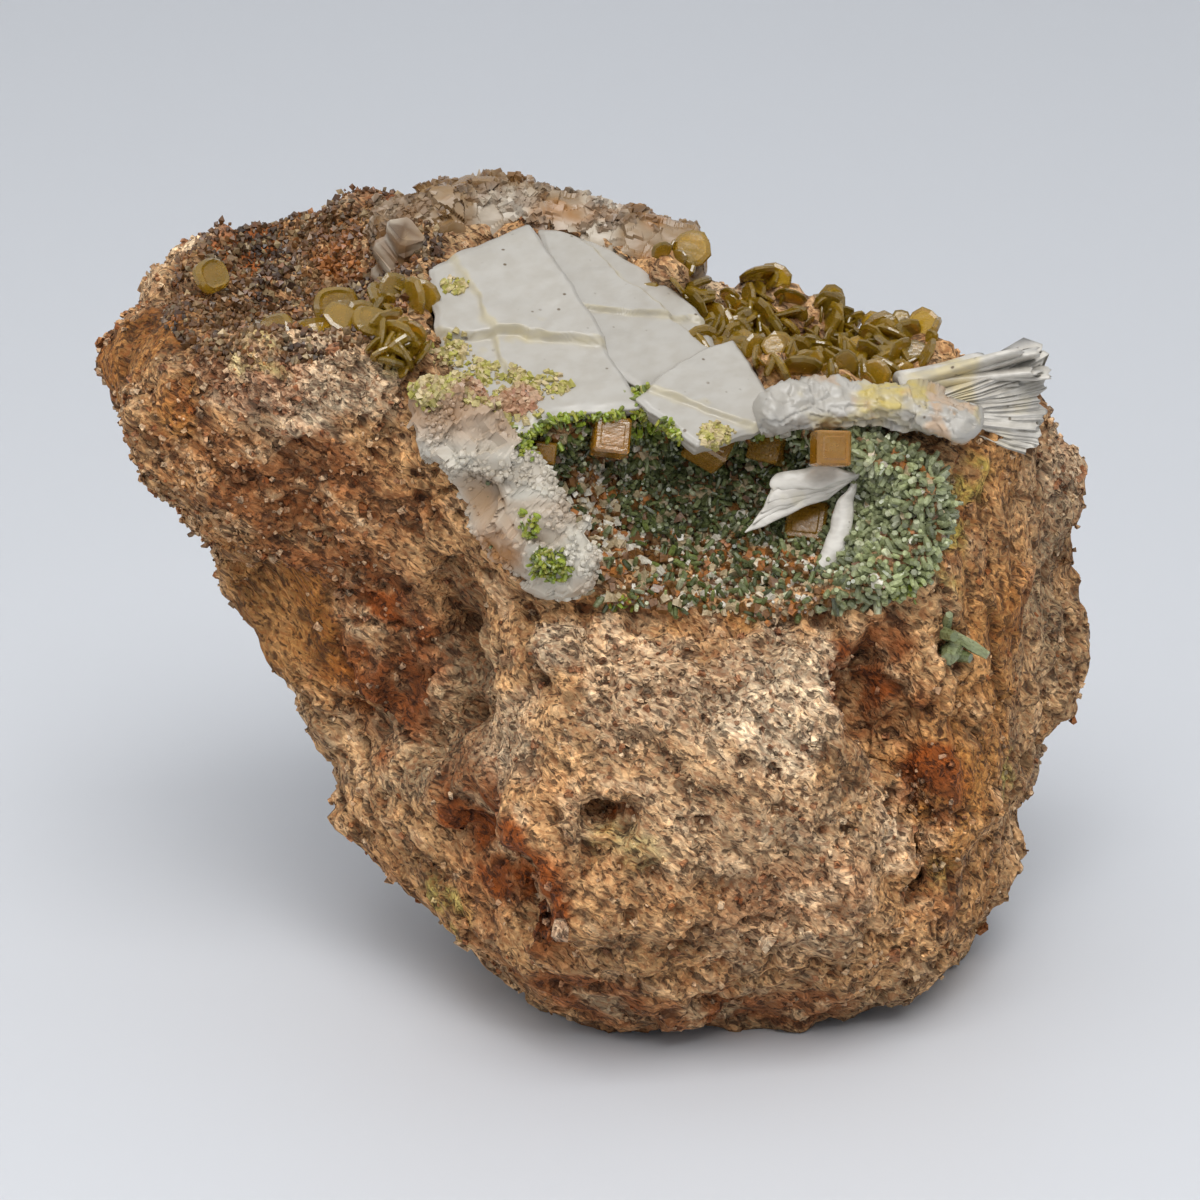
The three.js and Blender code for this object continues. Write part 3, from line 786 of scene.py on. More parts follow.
def layer_group():
    """Cleavage: thin lines that run across a mineral, patches of tint, and a height for both."""
    found = bpy.data.node_groups.get("cleavage_layers")
    if found:
        return found
    tree, given, out = group(
        "cleavage_layers", (("Scale", 900.0), ("Patch Scale", 180.0)), ("Lines", "Patch", "Specks", "Height"))
    place = add(tree, "ShaderNodeTexCoord").outputs["Object"]
    drawn = add(
        tree, "ShaderNodeMapping", {"Vector": place, "Rotation": (0.5, 0.3, 0.6), "Scale": (1, 0.16, 2.4)})
    lines = add(tree, "ShaderNodeTexNoise", {
        "Vector": drawn.outputs[0], "Scale": given["Scale"], "Detail": 2.0, "Roughness": 0.6}).outputs[0]
    patch = add(tree, "ShaderNodeTexNoise", {
        "Vector": place, "Scale": given["Patch Scale"], "Detail": 3.0, "Roughness": 0.6}).outputs[0]
    dots = add(tree, "ShaderNodeTexVoronoi", {"Vector": place, "Scale": 1100.0}).outputs["Distance"]
    rare = add(tree, "ShaderNodeTexNoise", {"Vector": place, "Scale": 420.0}).outputs[0]
    specks = math(tree, "MULTIPLY", ranged(tree, dots, 0.16, 0.08), ranged(tree, rare, 0.52, 0.6))
    height = math(tree, "ADD", math(tree, "MULTIPLY", lines, 0.6), math(tree, "MULTIPLY", patch, 0.4))
    for label, socket in (("Lines", lines), ("Patch", patch), ("Specks", specks), ("Height", height)):
        tree.links.new(socket, out[label])
    return tree


def finish(name):
    """A new material, its node tree and its shader."""
    material = bpy.data.materials.new(name)
    material.use_nodes = True
    return material, material.node_tree, material.node_tree.nodes["Principled BSDF"]


def placed_group(tree, made, **values):
    node = add(tree, "ShaderNodeGroup", node_tree=made)
    for label, value in values.items():
        node.inputs[label.replace("_", " ")].default_value = value
    return node.outputs


def raised(tree, shader, height, strength, depth):
    """A bump of this depth in millimetres on a shader."""
    bump = add(tree, "ShaderNodeBump", {"Height": height, "Strength": strength, "Distance": depth * MM})
    tree.links.new(bump.outputs[0], shader.inputs["Normal"])


def tone_socket(tree):
    return add(tree, "ShaderNodeAttribute", attribute_name="tone").outputs["Color"]


def rock_material(settings):
    """Crumbly rock.

    The piece's own tone, darker in pits, paler on single grains, dull with a few glints.
    """
    found = bpy.data.materials.get("weathered_rock")
    if found:
        return found
    material, tree, shader = finish("weathered_rock")
    small = placed_group(tree, grain_group(), Scale=4300.0, Pit_Share=0.46)
    large = placed_group(tree, grain_group(), Scale=1700.0, Pit_Share=0.43)
    tone = tone_socket(tree)
    bright = tinted(tree, 1.0, tone, (1.75, 1.7, 1.6, 1), "MULTIPLY")
    lit = tinted(tree, ranged(tree, small["Grain"], 0.35, 1.0), tone, bright)
    dull = tinted(tree, ranged(tree, large["Speckle"], 0.58, 0.36, 0.0, 0.5), lit, rgba(settings.rust))
    deep = math(
        tree, "MAXIMUM", math(tree, "MULTIPLY", small["Pit"], 0.75),
        math(tree, "MULTIPLY", large["Pit"], 0.6))
    tree.links.new(tinted(tree, deep, dull, rgba(settings.umber)), shader.inputs["Base Color"])
    tree.links.new(ranged(tree, small["Grain"], 0.75, 1.0, 0.92, 0.5), shader.inputs["Roughness"])
    height = math(tree, "ADD", small["Height"], math(tree, "MULTIPLY", large["Height"], 1.6))
    raised(tree, shader, height, 1.0, 0.2)
    shader.inputs["Specular IOR Level"].default_value = 0.4
    return material


def grain_material(name, roughness, gloss, scale=2600.0):
    """A crust of small crystals: each one's own tone, mottled, with a fine uneven surface."""
    found = bpy.data.materials.get(name)
    if found:
        return found
    material, tree, shader = finish(name)
    small = placed_group(tree, grain_group(), Scale=scale, Pit_Share=0.34)
    tone = tone_socket(tree)
    share = ranged(tree, small["Speckle"], 0.35, 0.7, 0.0, 1.0)
    dark = tinted(tree, 1.0, tone, (0.62, 0.6, 0.56, 1), "MULTIPLY")
    tree.links.new(tinted(tree, share, dark, tone), shader.inputs["Base Color"])
    tree.links.new(
        ranged(tree, small["Speckle"], 0.3, 0.7, roughness - 0.1, roughness + 0.15),
        shader.inputs["Roughness"])
    raised(tree, shader, small["Height"], 0.4, 0.06)
    shader.inputs["Coat Weight"].default_value = gloss
    shader.inputs["Coat Roughness"].default_value = 0.15
    shader.inputs["IOR"].default_value = 1.6
    return material


def barite_material(settings):
    """Milky barite: white with greyer layers, a yellow film where its tone says so, and dark specks."""
    found = bpy.data.materials.get("milky_barite")
    if found:
        return found
    material, tree, shader = finish("milky_barite")
    layers = placed_group(tree, layer_group(), Scale=800.0, Patch_Scale=210.0)
    tone = tone_socket(tree)
    shaded = tinted(tree, ranged(tree, layers["Lines"], 0.62, 0.36, 0.0, 0.55), tone, rgba(settings.shade))
    shaded = tinted(tree, ranged(tree, layers["Patch"], 0.64, 0.78, 0.0, 0.35), shaded, rgba(settings.tint))
    specked = tinted(tree, layers["Specks"], shaded, (0.12, 0.08, 0.04, 1))
    tree.links.new(specked, shader.inputs["Base Color"])
    tree.links.new(ranged(tree, layers["Lines"], 0.3, 0.7, 0.28, 0.55), shader.inputs["Roughness"])
    raised(tree, shader, layers["Height"], 0.25, 0.12)
    shader.inputs["IOR"].default_value = 1.64
    return material


def quartz_material(name, transmission, roughness):
    """Cloudy quartz: partly see-through, its tone broken by healed cracks and cloudy patches."""
    found = bpy.data.materials.get(name)
    if found:
        return found
    material, tree, shader = finish(name)
    layers = placed_group(tree, layer_group(), Scale=600.0, Patch_Scale=320.0)
    tone = tone_socket(tree)
    cloudy = tinted(tree, ranged(tree, layers["Patch"], 0.42, 0.72, 0.0, 0.4), tone, (0.72, 0.64, 0.52, 1))
    tree.links.new(cloudy, shader.inputs["Base Color"])
    tree.links.new(
        ranged(tree, layers["Patch"], 0.3, 0.7, roughness, roughness + 0.3), shader.inputs["Roughness"])
    raised(tree, shader, layers["Height"], 0.5, 0.25)
    shader.inputs["Transmission Weight"].default_value = transmission
    shader.inputs["IOR"].default_value = 1.55
    return material


def wulfenite_material(name, transmission, film, density):
    """Resinous wulfenite: see-through with its own tone, brighter in patches, with a bright glossy face."""
    found = bpy.data.materials.get(name)
    if found:
        return found
    material, tree, shader = finish(name)
    layers = placed_group(tree, layer_group(), Scale=1300.0, Patch_Scale=520.0)
    tone = tone_socket(tree)
    patched = tinted(tree, ranged(tree, layers["Patch"], 0.45, 0.7, 0.0, 0.5), tone, rgba(film))
    tree.links.new(patched, shader.inputs["Base Color"])
    tree.links.new(ranged(tree, layers["Lines"], 0.3, 0.7, 0.08, 0.3), shader.inputs["Roughness"])
    raised(tree, shader, layers["Height"], 0.3, 0.12)
    shader.inputs["Transmission Weight"].default_value = transmission
    shader.inputs["IOR"].default_value = 1.8
    inside = add(tree, "ShaderNodeVolumeAbsorption", {"Color": rgba(film), "Density": density})
    tree.links.new(inside.outputs[0], tree.nodes["Material Output"].inputs["Volume"])
    return material


# Rock


def stain(points, kind, wander):
    """How strongly a stain shows.

    The greatest of its spots, each fading from its heart to a ragged radius.
    """
    shown = np.zeros(len(points))
    for heart, radius, strength in STAINS[kind]:
        far = np.linalg.norm(points - np.array(heart), axis=1) / (1.2 * radius) + 0.4 * wander
        shown = np.maximum(shown, strength * smooth(1.0, 0.5, far))
    return shown


def carving(points, wander):
    """Height of the carved and raised forms together, each fading from its heart to a ragged radius."""
    height = np.zeros(len(points))
    for heart, radius, rise in CARVED:
        far = np.linalg.norm(points - np.array(heart), axis=1) / radius + 0.3 * wander
        height += rise * smooth(1.1, 0.45, far)
    return height


def rock_relief(points, settings, bare):
    """Height above the solid's face.

    Swellings, broken facets at three sizes, streaked grains and pits, less where bare.
    """
    lump, chip, grain = (v / MM for v in (settings.lump_height, settings.chip_height, settings.grain_height))
    right = smooth(17.0, 20.0, points[:, 0])
    front = stretched(points, FRONT_BEDS, 2.6)
    upright = stretched(points, RIGHT_BEDS, 3.4)
    streaks = (1 - right) * fractal(front, 1.3, 31, 2) + right * fractal(upright, 1.2, 35, 2)
    facets = (1 - right) * chips(front, 1.5, 41) + right * chips(upright, 1.3, 47)
    far, _, _ = nearest_cells(points, 0.85, 53)
    pits = smooth(0.3, 0.6, fractal(points, 1.5, 61, 2))
    fine = grain * (1.7 * streaks + 0.9 * facets + 0.9 * (0.5 - far) - 2.4 * pits)
    broad = lump * fractal(points, 6.0, 71, 2) + chip * chips(points, 4.4, 81) * 0.7
    line = np.abs((1 - right) * fractal(front, 6.5, 85, 2) + right * fractal(upright, 4.2, 87, 2))
    cracks = 0.55 * smooth(0.07, 0.0, line) * smooth(-0.1, 0.3, noise(points, 8.0, 89))
    rear = smooth(-3.0, 6.0, points[:, 1])
    rear *= smooth(43.0, 36.0, points[:, 2])
    broad += rear * (0.9 * chips(points, 10.0, 86) + 0.5 * chips(stretched(points, FRONT_BEDS, 2.0), 5.0, 88))
    return broad - cracks + fine * (1 - 0.8 * bare)


def rock_tones(points, settings, painted_recess_shade):
    """Colour of the rock.

    Tan, bleached, weathered and iron-stained by its spots and by broad noise, with painted shade darkening it
    in recesses.
    """
    wander = fractal(points, 3.0, 91, 3)
    fleck = fractal(stretched(points, FRONT_BEDS, 2.2), 1.1, 95, 2)
    broad = fractal(points, 11.0, 99, 2)
    rear = smooth(-3.0, 6.0, points[:, 1])
    tone = even_tone(settings.tan, len(points))
    tone = mixed(tone, settings.cream, 0.9 * rear * smooth(0.1, 0.5, fractal(points, 9.0, 111, 3)))
    tone = mixed(tone, settings.rust, 0.9 * rear * smooth(0.15, 0.5, fractal(points, 8.0, 115, 3)))
    tone = mixed(tone, settings.cream, stain(points, "pale", wander) + 0.3 * smooth(0.1, 0.7, fleck))
    tone = mixed(tone, settings.grey, 0.75 * stain(points, "grey", wander) + 0.35 * smooth(0.1, 0.6, -broad))
    ochre = stain(points, "ochre", wander) + 0.3 * smooth(0.1, 0.7, broad)
    tone = mixed(tone, settings.ochre, 0.8 * ochre * (0.65 + 0.35 * fleck))
    rust = stain(points, "rust", wander) + 0.45 * smooth(0.25, 0.75, noise(points, 7.0, 103))
    tone = mixed(tone, settings.rust, rust * smooth(-0.8, 0.2, -fleck))
    tone = mixed(tone, 0.55 * np.array(settings.ochre), 0.75 * stain(points, "bare", wander))
    tone = mixed(tone, settings.lime, 0.75 * stain(points, "lime", wander) * smooth(-0.4, 0.4, fleck))
    tone = tone * (1 + 0.45 * np.clip(fractal(points, 2.1, 107, 3), -1, 1))[:, None]
    # Painted shade: the rock darkens towards umber in its recesses.
    return mixed(tone, settings.umber, 0.75 * painted_recess_shade)


class CLUSTER_OT_rock(bpy.types.Operator):
    """Iron-stained rock: the solid's own skin, made even, roughened along its normals and stained, with
    painted shade in its recesses.

    Its hollows and overhangs can't be drawn over two parameters, so the solid's copy is meshed evenly
    first.
    """

    bl_idname = "cluster.rock"
    bl_label = "Rock"

    def execute(self, context):
        settings = context.scene.cluster_rock
        points, quads = even_mesh("matrix_rock", settings.mesh_step / MM)
        foot = points[:, 2] < 0.3
        points = relaxed(points, quads, 5)
        normals = quad_normals(points, quads)
        bare = stain(points, "bare", fractal(points, 3.0, 91, 3))
        lining = sum(in_hollow(points, hollow) for hollow in (POCKET, SHOULDER, BASIN))
        relief = rock_relief(points, settings, bare)
        form = carving(points, fractal(points, 2.4, 93, 2))
        mean = relaxed(relief[:, None], quads, 8)[:, 0]
        # Painted shade: how far each point sits below its neighbours, or inside a deep carved-in form,
        # darkens its colour.
        painted_recess_shade = np.maximum(smooth(0.02, 0.3, mean - relief), 0.5 * smooth(-0.6, -1.6, form))
        points = points + normals * (relief + form + 0.7 * np.clip(lining, 0, 1))[:, None]
        points[:, 2] = np.where(foot, np.maximum(points[:, 2], 0) * 0.3, np.maximum(points[:, 2], 0))
        tones = rock_tones(points, settings, painted_recess_shade)
        shape = (points, quads, NO_TRIANGLES)
        surface(ROCK, shape, rock_material(settings), ("matrix_rock",), tones, rounded=True)
        return {"FINISHED"}


class CLUSTER_OT_rock_grains(bpy.types.Operator):
    """Grains and flakes half sunk in the rock, thickest where it is bleached or granular."""

    bl_idname = "cluster.rock_grains"
    bl_label = "Rock grains"

    def execute(self, context):
        settings = context.scene.cluster_rock
        chance = np.random.default_rng(5)
        points, normals = skin(ROCK)
        wander = fractal(points, 3.0, 91, 3)
        hollow = sum(in_hollow(points, space) for space in (POCKET, SHOULDER, BASIN))
        weights = (
            0.12 + stain(points, "pale", wander)
            + 0.8 * smooth(-12, -16, points[:, 0]) * smooth(18, 34, points[:, 2])
        )
        weights *= (1 - 0.9 * stain(points, "bare", wander)) * (points[:, 2] > 1.5) * (hollow < 0.3)
        chosen = picked(chance, weights, settings.grains)
        places, out = points[chosen], normals[chosen]
        width = 0.16 + 0.26 * chance.random(len(chosen)) ** 2
        width *= np.where(chance.random(len(chosen)) < 0.015, 2.4, 1.0)
        sizes = width[:, None] * chance.uniform((0.8, 0.6, 0.5), (1.5, 1.1, 1.0), (len(chosen), 3))
        turns = standing(shaken(out, 0.8, chance), chance.uniform(0, 6.3, len(chosen)))
        tones = rock_tones(places, settings, np.zeros(len(chosen)))
        tones = mixed(tones, settings.cream, 0.7 * chance.random(len(chosen)) ** 2)
        tones = mixed(tones, settings.rust, (chance.random(len(chosen)) < 0.14) * 0.7)
        shape = copies(chunk(), places + 0.25 * width[:, None] * out, turns, sizes)
        surface("rock_grains", shape, rock_material(settings), tones=np.repeat(tones, 8, axis=0))
        return {"FINISHED"}


# Barite


def edge_points(outline, samples):
    """Points at equal steps round a closed outline, with its corners a little worn."""
    corners = np.array(outline + outline[:1], float)
    along = np.concatenate(([0], np.cumsum(np.linalg.norm(np.diff(corners, axis=0), axis=1))))
    at = np.linspace(0, along[-1], samples, endpoint=False)
    edge = np.stack([np.interp(at, along, corners[:, axis]) for axis in range(2)], 1)
    return (np.roll(edge, 1, axis=0) + 2 * edge + np.roll(edge, -1, axis=0)) / 4


def cleaved_plate(place, turn, outline, steps, raggedness, seed):
    """A plate drawn over the share of the way from its middle to its edge and the place round that edge.

    The upper face is lowered past each step by that step's drop, and waves gently; the side is stacked
    from thin layers that stand out by turns; the lower face is flat. Returns the shape and a share of
    yellow film.
    """
    columns = 210
    edge = edge_points(outline, columns)
    middle = edge.mean(0)
    out = (edge - middle) / np.linalg.norm(edge - middle, axis=1, keepdims=True)
    ragged = fractal(np.pad(edge, ((0, 0), (0, 1))), 1.6, seed, 3)
    edge = edge + out * (PLATE_SKIN + raggedness * ragged[:, None])
    upper = np.linspace(0.03, 1, UPPER_RINGS)
    layers = np.linspace(0.06, 1, SIDE_RINGS)
    lower = np.linspace(0.98, 0.05, LOWER_RINGS)
    share = np.concatenate((upper, np.ones(SIDE_RINGS), lower))
    flat = middle + share[:, None, None] * (edge - middle)
    flat[-LOWER_RINGS:] -= share[-LOWER_RINGS:, None, None] * UNDERCUT * out
    drop = np.concatenate((0 * upper, layers * PLATE_THICKNESS, np.full(LOWER_RINGS, PLATE_THICKNESS)))
    rings = np.concatenate((flat, np.broadcast_to(-drop[:, None, None], flat.shape[:2] + (1,))), 2)
    sheets = noise(np.stack((edge[:, 0] + 9, edge[:, 1], 0 * edge[:, 0]), 1), 2.2, seed + 3)
    proud = 0.07 * np.sin(17 * layers)[:, None] + 0.12 * sheets[None]
    rings[UPPER_RINGS:-LOWER_RINGS, :, :2] += (
        (proud * np.sin(np.pi * layers)[:, None] - UNDERCUT * layers[:, None] ** 1.5)[..., None] * out
    )
    face = rings[:UPPER_RINGS].reshape(-1, 3)
    height = 0.1 * fractal(face, 3.4, seed + 5, 3)
    height += 0.05 * noise(stretched(face, (0.9, 0.4, 0), 5), 0.6, seed + 8)
    film = np.zeros(len(face))
    for point, direction, fall, width in steps:
        way = np.array(direction) / np.linalg.norm(direction)
        past = (
            (face[:, :2] - point) @ way + 0.5 * noise(face, 2.5, seed + 9)
            + 0.15 * noise(face, 0.7, seed + 10)
        )
        height -= fall * smooth(0, width, past)
        film = np.maximum(film, 0.6 * smooth(-0.1, 0.05, past) * smooth(0.6, 0.1, past))
    worn = smooth(0.9, 1.0, np.repeat(upper, columns))
    rings[:UPPER_RINGS, :, 2] += (height - 0.22 * worn ** 2).reshape(UPPER_RINGS, columns)
    rings[UPPER_RINGS:-LOWER_RINGS, :, 2] += rings[UPPER_RINGS - 1, :, 2] * (1 - layers)[:, None]
    frame_turn = turned(turn)
    shape = loft(rings)
    points = shape[0] @ frame_turn.T + np.array(place) + ORIGIN
    tint = np.concatenate(([film[0]], film, np.full((SIDE_RINGS + LOWER_RINGS) * columns + 1, 0.1)))
    return (points, shape[1], shape[2]), tint


class CLUSTER_OT_barite_plates(bpy.types.Operator):
    """The three cleaved barite plates along the top."""

    bl_idname = "cluster.barite_plates"
    bl_label = "Barite plates"

    def execute(self, context):
        settings = context.scene.cluster_barite
        for seed, (name, place, turn, outline, steps) in enumerate(PLATES):
            shape, film = cleaved_plate(
                place, turn, outline, steps, settings.raggedness / MM, 200 + 20 * seed)
            tones = mixed(even_tone(settings.milk, len(shape[0])), settings.tint, 0.45 * film)
            node = "barite_plate_" + name
            surface(
                node + "_cleaved", shape, barite_material(settings), (node,), tones, rounded=True)
        return {"FINISHED"}


class CLUSTER_OT_barite_rim(bpy.types.Operator):
    """The knobbly barite rim in front of the basin.

    An oval bar whose radius follows lumps and broken facets.
    """

    bl_idname = "cluster.barite_rim"
    bl_label = "Barite rim"

    def execute(self, context):
        settings = context.scene.cluster_barite
        rings, out = bar(RIM_PATH, RIM_WIDTH, RIM_HEIGHT, 170, 90, end=0.16)
        points = rings.reshape(-1, 3)
        swell = (
            0.55 * fractal(points, 3.2, 301, 4) + 0.35 * chips(points, 2.4, 305)
            + 0.2 * chips(points, 0.7, 309)
        )
        shape = loft(rings + swell.reshape(rings.shape[:2])[..., None] * out)
        film = smooth(0.05, 0.55, fractal(shape[0], 2.4, 311, 3)) * smooth(40.5, 43.5, shape[0][:, 2])
        tones = mixed(even_tone(settings.milk, len(shape[0])), settings.tint, 0.8 * film)
        low = smooth(41.6, 39.8, shape[0][:, 2])
        tones = mixed(
            tones, context.scene.cluster_rock.tan,
            0.8 * low + 0.6 * smooth(0.2, 0.6, fractal(shape[0], 1.7, 313, 3)))
        surface(
            "barite_rim_crust", shape, barite_material(settings), ("barite_rim",), tones,
            rounded=True)
        return {"FINISHED"}


def fan_blade(opening, chance):
    """One blade of the fan.

    A lens section carried along its length, wider and thinner towards a ragged end.
    """
    rows, columns = 30, 20
    along = np.linspace(0, 1, rows)
    angle = np.arange(columns) * 2 * np.pi / columns
    reach = FAN_LENGTH * chance.uniform(0.7, 0.95)
    width = 0.9 + 1.9 * along ** 0.8
    thick = 0.75 - 0.4 * along
    ring = np.zeros((rows, columns, 3))
    ring[..., 1] = width[:, None] * np.cos(angle)
    ring[..., 2] = thick[:, None] * np.sin(angle)
    ring[..., 0] = reach * along[:, None]
    flat = ring.reshape(-1, 3)
    wave = noise(flat + 40 * opening, 2.6, 321).reshape(rows, columns)
    ragged = fractal(flat + 70 * opening, 1.1, 325, 2).reshape(rows, columns)
    ring[..., 0] += along[:, None] ** 6 * (1.1 * ragged - 0.5 * np.abs(np.cos(angle)) ** 2)
    ring[..., 2] += 0.28 * wave * along[:, None]
    turn = np.array((24 - 50 * opening, 12 - 26 * opening, 44 - 52 * opening)) + chance.uniform(-5, 5, 3)
    place = np.array(FAN_ROOT) + (0, 0, 0.5 - 0.5 * opening) + ORIGIN
    shape = loft(ring)
    return shape[0] @ turned(turn).T + place, shape[1], shape[2]


def fan_sheet():
    """The fan's grooved front.

    Lines that spread from a root over an angle, with uneven fibres along them, bent back to the right.

    Each ring goes down the ridged front and back up a plain rear face; its distance from the root grows
    ring by ring.
    """
    rows, lines = 44, 150
    angle = np.radians(np.linspace(18, -25, lines))
    inner = 0.04 + 0.8 * smooth(np.radians(-11), np.radians(-22), angle)
    share = inner + (1 - inner) * np.linspace(0, 1, rows)[:, None]
    reach = 9.1 / np.cos(angle) * (1 + 0.03 * np.sin(31 * angle) + 0.02 * np.sin(83 * angle))
    reach *= 1 - 0.12 * smooth(np.radians(-15), np.radians(-25), angle)
    x = share * reach * np.cos(angle)
    rise = share * reach * np.sin(angle)
    flat = np.stack((x, rise, 0 * x), 2).reshape(-1, 3)
    lengthwise = np.stack((24 * angle + 0 * x, 0.12 * x, 0 * x), 2).reshape(-1, 3)
    ridge = np.abs(fractal(lengthwise, 1.0, 351, 3)).reshape(rows, lines)
    depth = (
        0.047 * x ** 2 + 0.32 * rise - (0.1 + 0.5 * share) * ridge
        - 0.2 * fractal(flat, 1.6, 355, 2).reshape(rows, lines)
    )
    front = np.stack((x, depth, 0.95 * rise), 2)
    rear = front + np.array((-0.8, 3.4, -0.5))
    return loft(np.concatenate((front, rear[:, ::-1]), 1) + np.array(FAN_SHEET_ROOT))


class CLUSTER_OT_barite_fan(bpy.types.Operator):
    """The fan of thin barite blades on the right corner."""

    bl_idname = "cluster.barite_fan"
    bl_label = "Barite fan"

    def execute(self, context):
        settings = context.scene.cluster_barite
        chance = np.random.default_rng(17)
        shape = joined(
            [fan_sheet()] + [fan_blade(opening, chance) for opening in np.linspace(0.3, 0.9, FAN_BLADES)])
        film = smooth(0.1, 0.6, fractal(shape[0], 2.8, 331, 2)) * smooth(27, 22, shape[0][:, 0])
        # Painted light: the fan's blades are drawn paler than the plates' barite.
        tones = mixed(BLADE_PAINTED_LIGHT * even_tone(settings.milk, len(shape[0])), settings.tint, 0.5 * film)
        surface(
            "barite_fan_blades", shape, barite_material(settings), ("barite_fan",), tones,
            rounded=True)
        return {"FINISHED"}


def splinter(path, widths, thickness, place, turn, seed):
    """A thin blade: a flat lens section carried along a path in its own plane, with a width at every row."""
    rows, columns = 40, 18
    points, tangents = spline(np.pad(np.asarray(path, float), ((0, 0), (0, 1))), rows)
    side = np.stack((-tangents[:, 1], tangents[:, 0], 0 * tangents[:, 0]), 1)
    share = np.linspace(0, 1, rows)
    width = np.interp(share, np.linspace(0, 1, len(widths)), widths)
    angle = np.arange(columns) * 2 * np.pi / columns
    rings = points[:, None] + (0.5 * width)[:, None, None] * np.cos(angle)[None, :, None] * side[:, None]
    rings[..., 2] += 0.5 * thickness * (0.35 + 0.65 * np.sin(np.pi * share))[:, None] * np.sin(angle)
    flat = rings.reshape(-1, 3)
    rings += 0.12 * np.stack([noise(flat, 0.9, seed + k) for k in range(3)], 1).reshape(rings.shape)
    shape = loft(rings)
    return shape[0] @ turned(turn).T + np.array(place) + ORIGIN, shape[1], shape[2]


class CLUSTER_OT_pocket_blade(bpy.types.Operator):
    """The hooked barite blade in the pocket: a splintered wedge, and a leg that runs down from its tip."""

    bl_idname = "cluster.pocket_blade"
    bl_label = "Hooked blade"

    def execute(self, context):
        settings = context.scene.cluster_barite
        pieces = []
        for layer in range(5):
            start = (-3.9 + 0.5 * layer, -2.3 + 0.62 * layer)
            path = (start, (-1.4, -0.8 + 0.36 * layer), (1.2, 0.1 + 0.2 * layer), (3.5, 0.9))
            place = np.array(HOOK_PLACE) + (0, -0.9 - 0.14 * layer, 0.05 * layer)
            pieces.append(splinter(path, (0.1, 1.3, 1.5, 0.15), 0.5, place, HOOK_TURN, 340 + 5 * layer))
        leg = ((3.4, 0.9), (2.6, -0.9), (2.0, -2.8), (1.0, -4.6), (-0.6, -5.7))
        place = np.array(HOOK_PLACE) + (0, -0.8, 0)
        pieces.append(splinter(leg, (0.2, 1.1, 1.3, 1.2, 0.3), 0.8, place, HOOK_TURN, 371))
        shape = joined(pieces)
        # Painted light: the hooked blade is drawn paler than the plates' barite.
        tones = BLADE_PAINTED_LIGHT * even_tone(settings.milk, len(shape[0]))
        surface(
            "pocket_blade_splinters", shape, barite_material(settings), ("pocket_blade",), tones,
            rounded=True)
        return {"FINISHED"}


# Quartz


def crest_block():
    """The tall striated block at the crest's left end.

    A cut square carried up a slightly waisted profile.
    """
    share = np.linspace(0, 1, 26)
    width = 1.15 + 0.12 * np.sin(21 * share) - 0.45 * share ** 6
    points, quads, triangles = crystal(block_outline(0.3), np.stack((width, 7.2 * share - 3.6), 1))
    points = points * (1.0, 1.5, 1.0) + 0.25 * np.stack(
        [chips(points, 1.4, 441 + 20 * k) for k in range(3)], 1)
    return points @ turned((24, 10, 30)).T + np.array((-13.6, 2.4, 47.7)), quads, triangles


def crest_grains(body, out):
    """Loose grains and small broken crystals on the upper side of the crest."""
    chance = np.random.default_rng(19)
    seats, ways = body[0][1:-1], out.reshape(-1, 3)
    chosen = picked(
        chance, smooth(-0.2, 0.6, ways[:, 2]) * smooth(-0.2, 0.4, fractal(seats, 3.0, 445, 2)), 1300)
    sizes = chance.uniform(0.2, 0.55, (len(chosen), 1)) * chance.uniform(0.6, 1.2, (len(chosen), 3))
    turns = standing(shaken(ways[chosen], 1.0, chance), chance.uniform(0, 6.3, len(chosen)))
    return (copies(chunk(), seats[chosen], turns, sizes),)


class CLUSTER_OT_quartz_crest(bpy.types.Operator):
    """The smoky quartz crest behind the plates: an oval bar broken into blocky facets."""

    bl_idname = "cluster.quartz_crest"
    bl_label = "Quartz crest"

    def execute(self, context):
        settings = context.scene.cluster_quartz
        rings, out = bar(CREST_PATH, CREST_WIDTH, CREST_HEIGHT, 240, 110, end=0.2)
        points = rings.reshape(-1, 3)
        swell = (
            0.5 * chips(points, 3.0, 401) + 0.3 * chips(points, 1.3, 405)
            + 0.3 * fractal(points, 2.6, 409, 3)
        )
        body = loft(rings + swell.reshape(rings.shape[:2])[..., None] * out)
        shape = joined((body, crest_block(), *crest_grains(body, out)))
        tones = even_tone(settings.smoky, len(shape[0]))
        tones = mixed(tones, settings.clear, 0.6 * smooth(0.1, 0.6, fractal(shape[0], 4.0, 411, 2)))
        tones = mixed(tones, settings.stained, 0.8 * smooth(0.15, 0.6, fractal(shape[0], 3.0, 415, 3)))
        loose = np.arange(len(shape[0])) >= len(body[0])
        fleck = random_at(np.floor(shape[0] / 0.6), 447)
        tones = mixed(tones, context.scene.cluster_druse.dark, 0.7 * loose * (fleck < 0.2))
        tones = mixed(tones, context.scene.cluster_druse.brown, 0.7 * loose * (fleck > 0.5))
        surface(
            "quartz_crest_smoky", shape, quartz_material("smoky_quartz", 0.22, 0.2),
            ("quartz_crest",), tones)
        return {"FINISHED"}


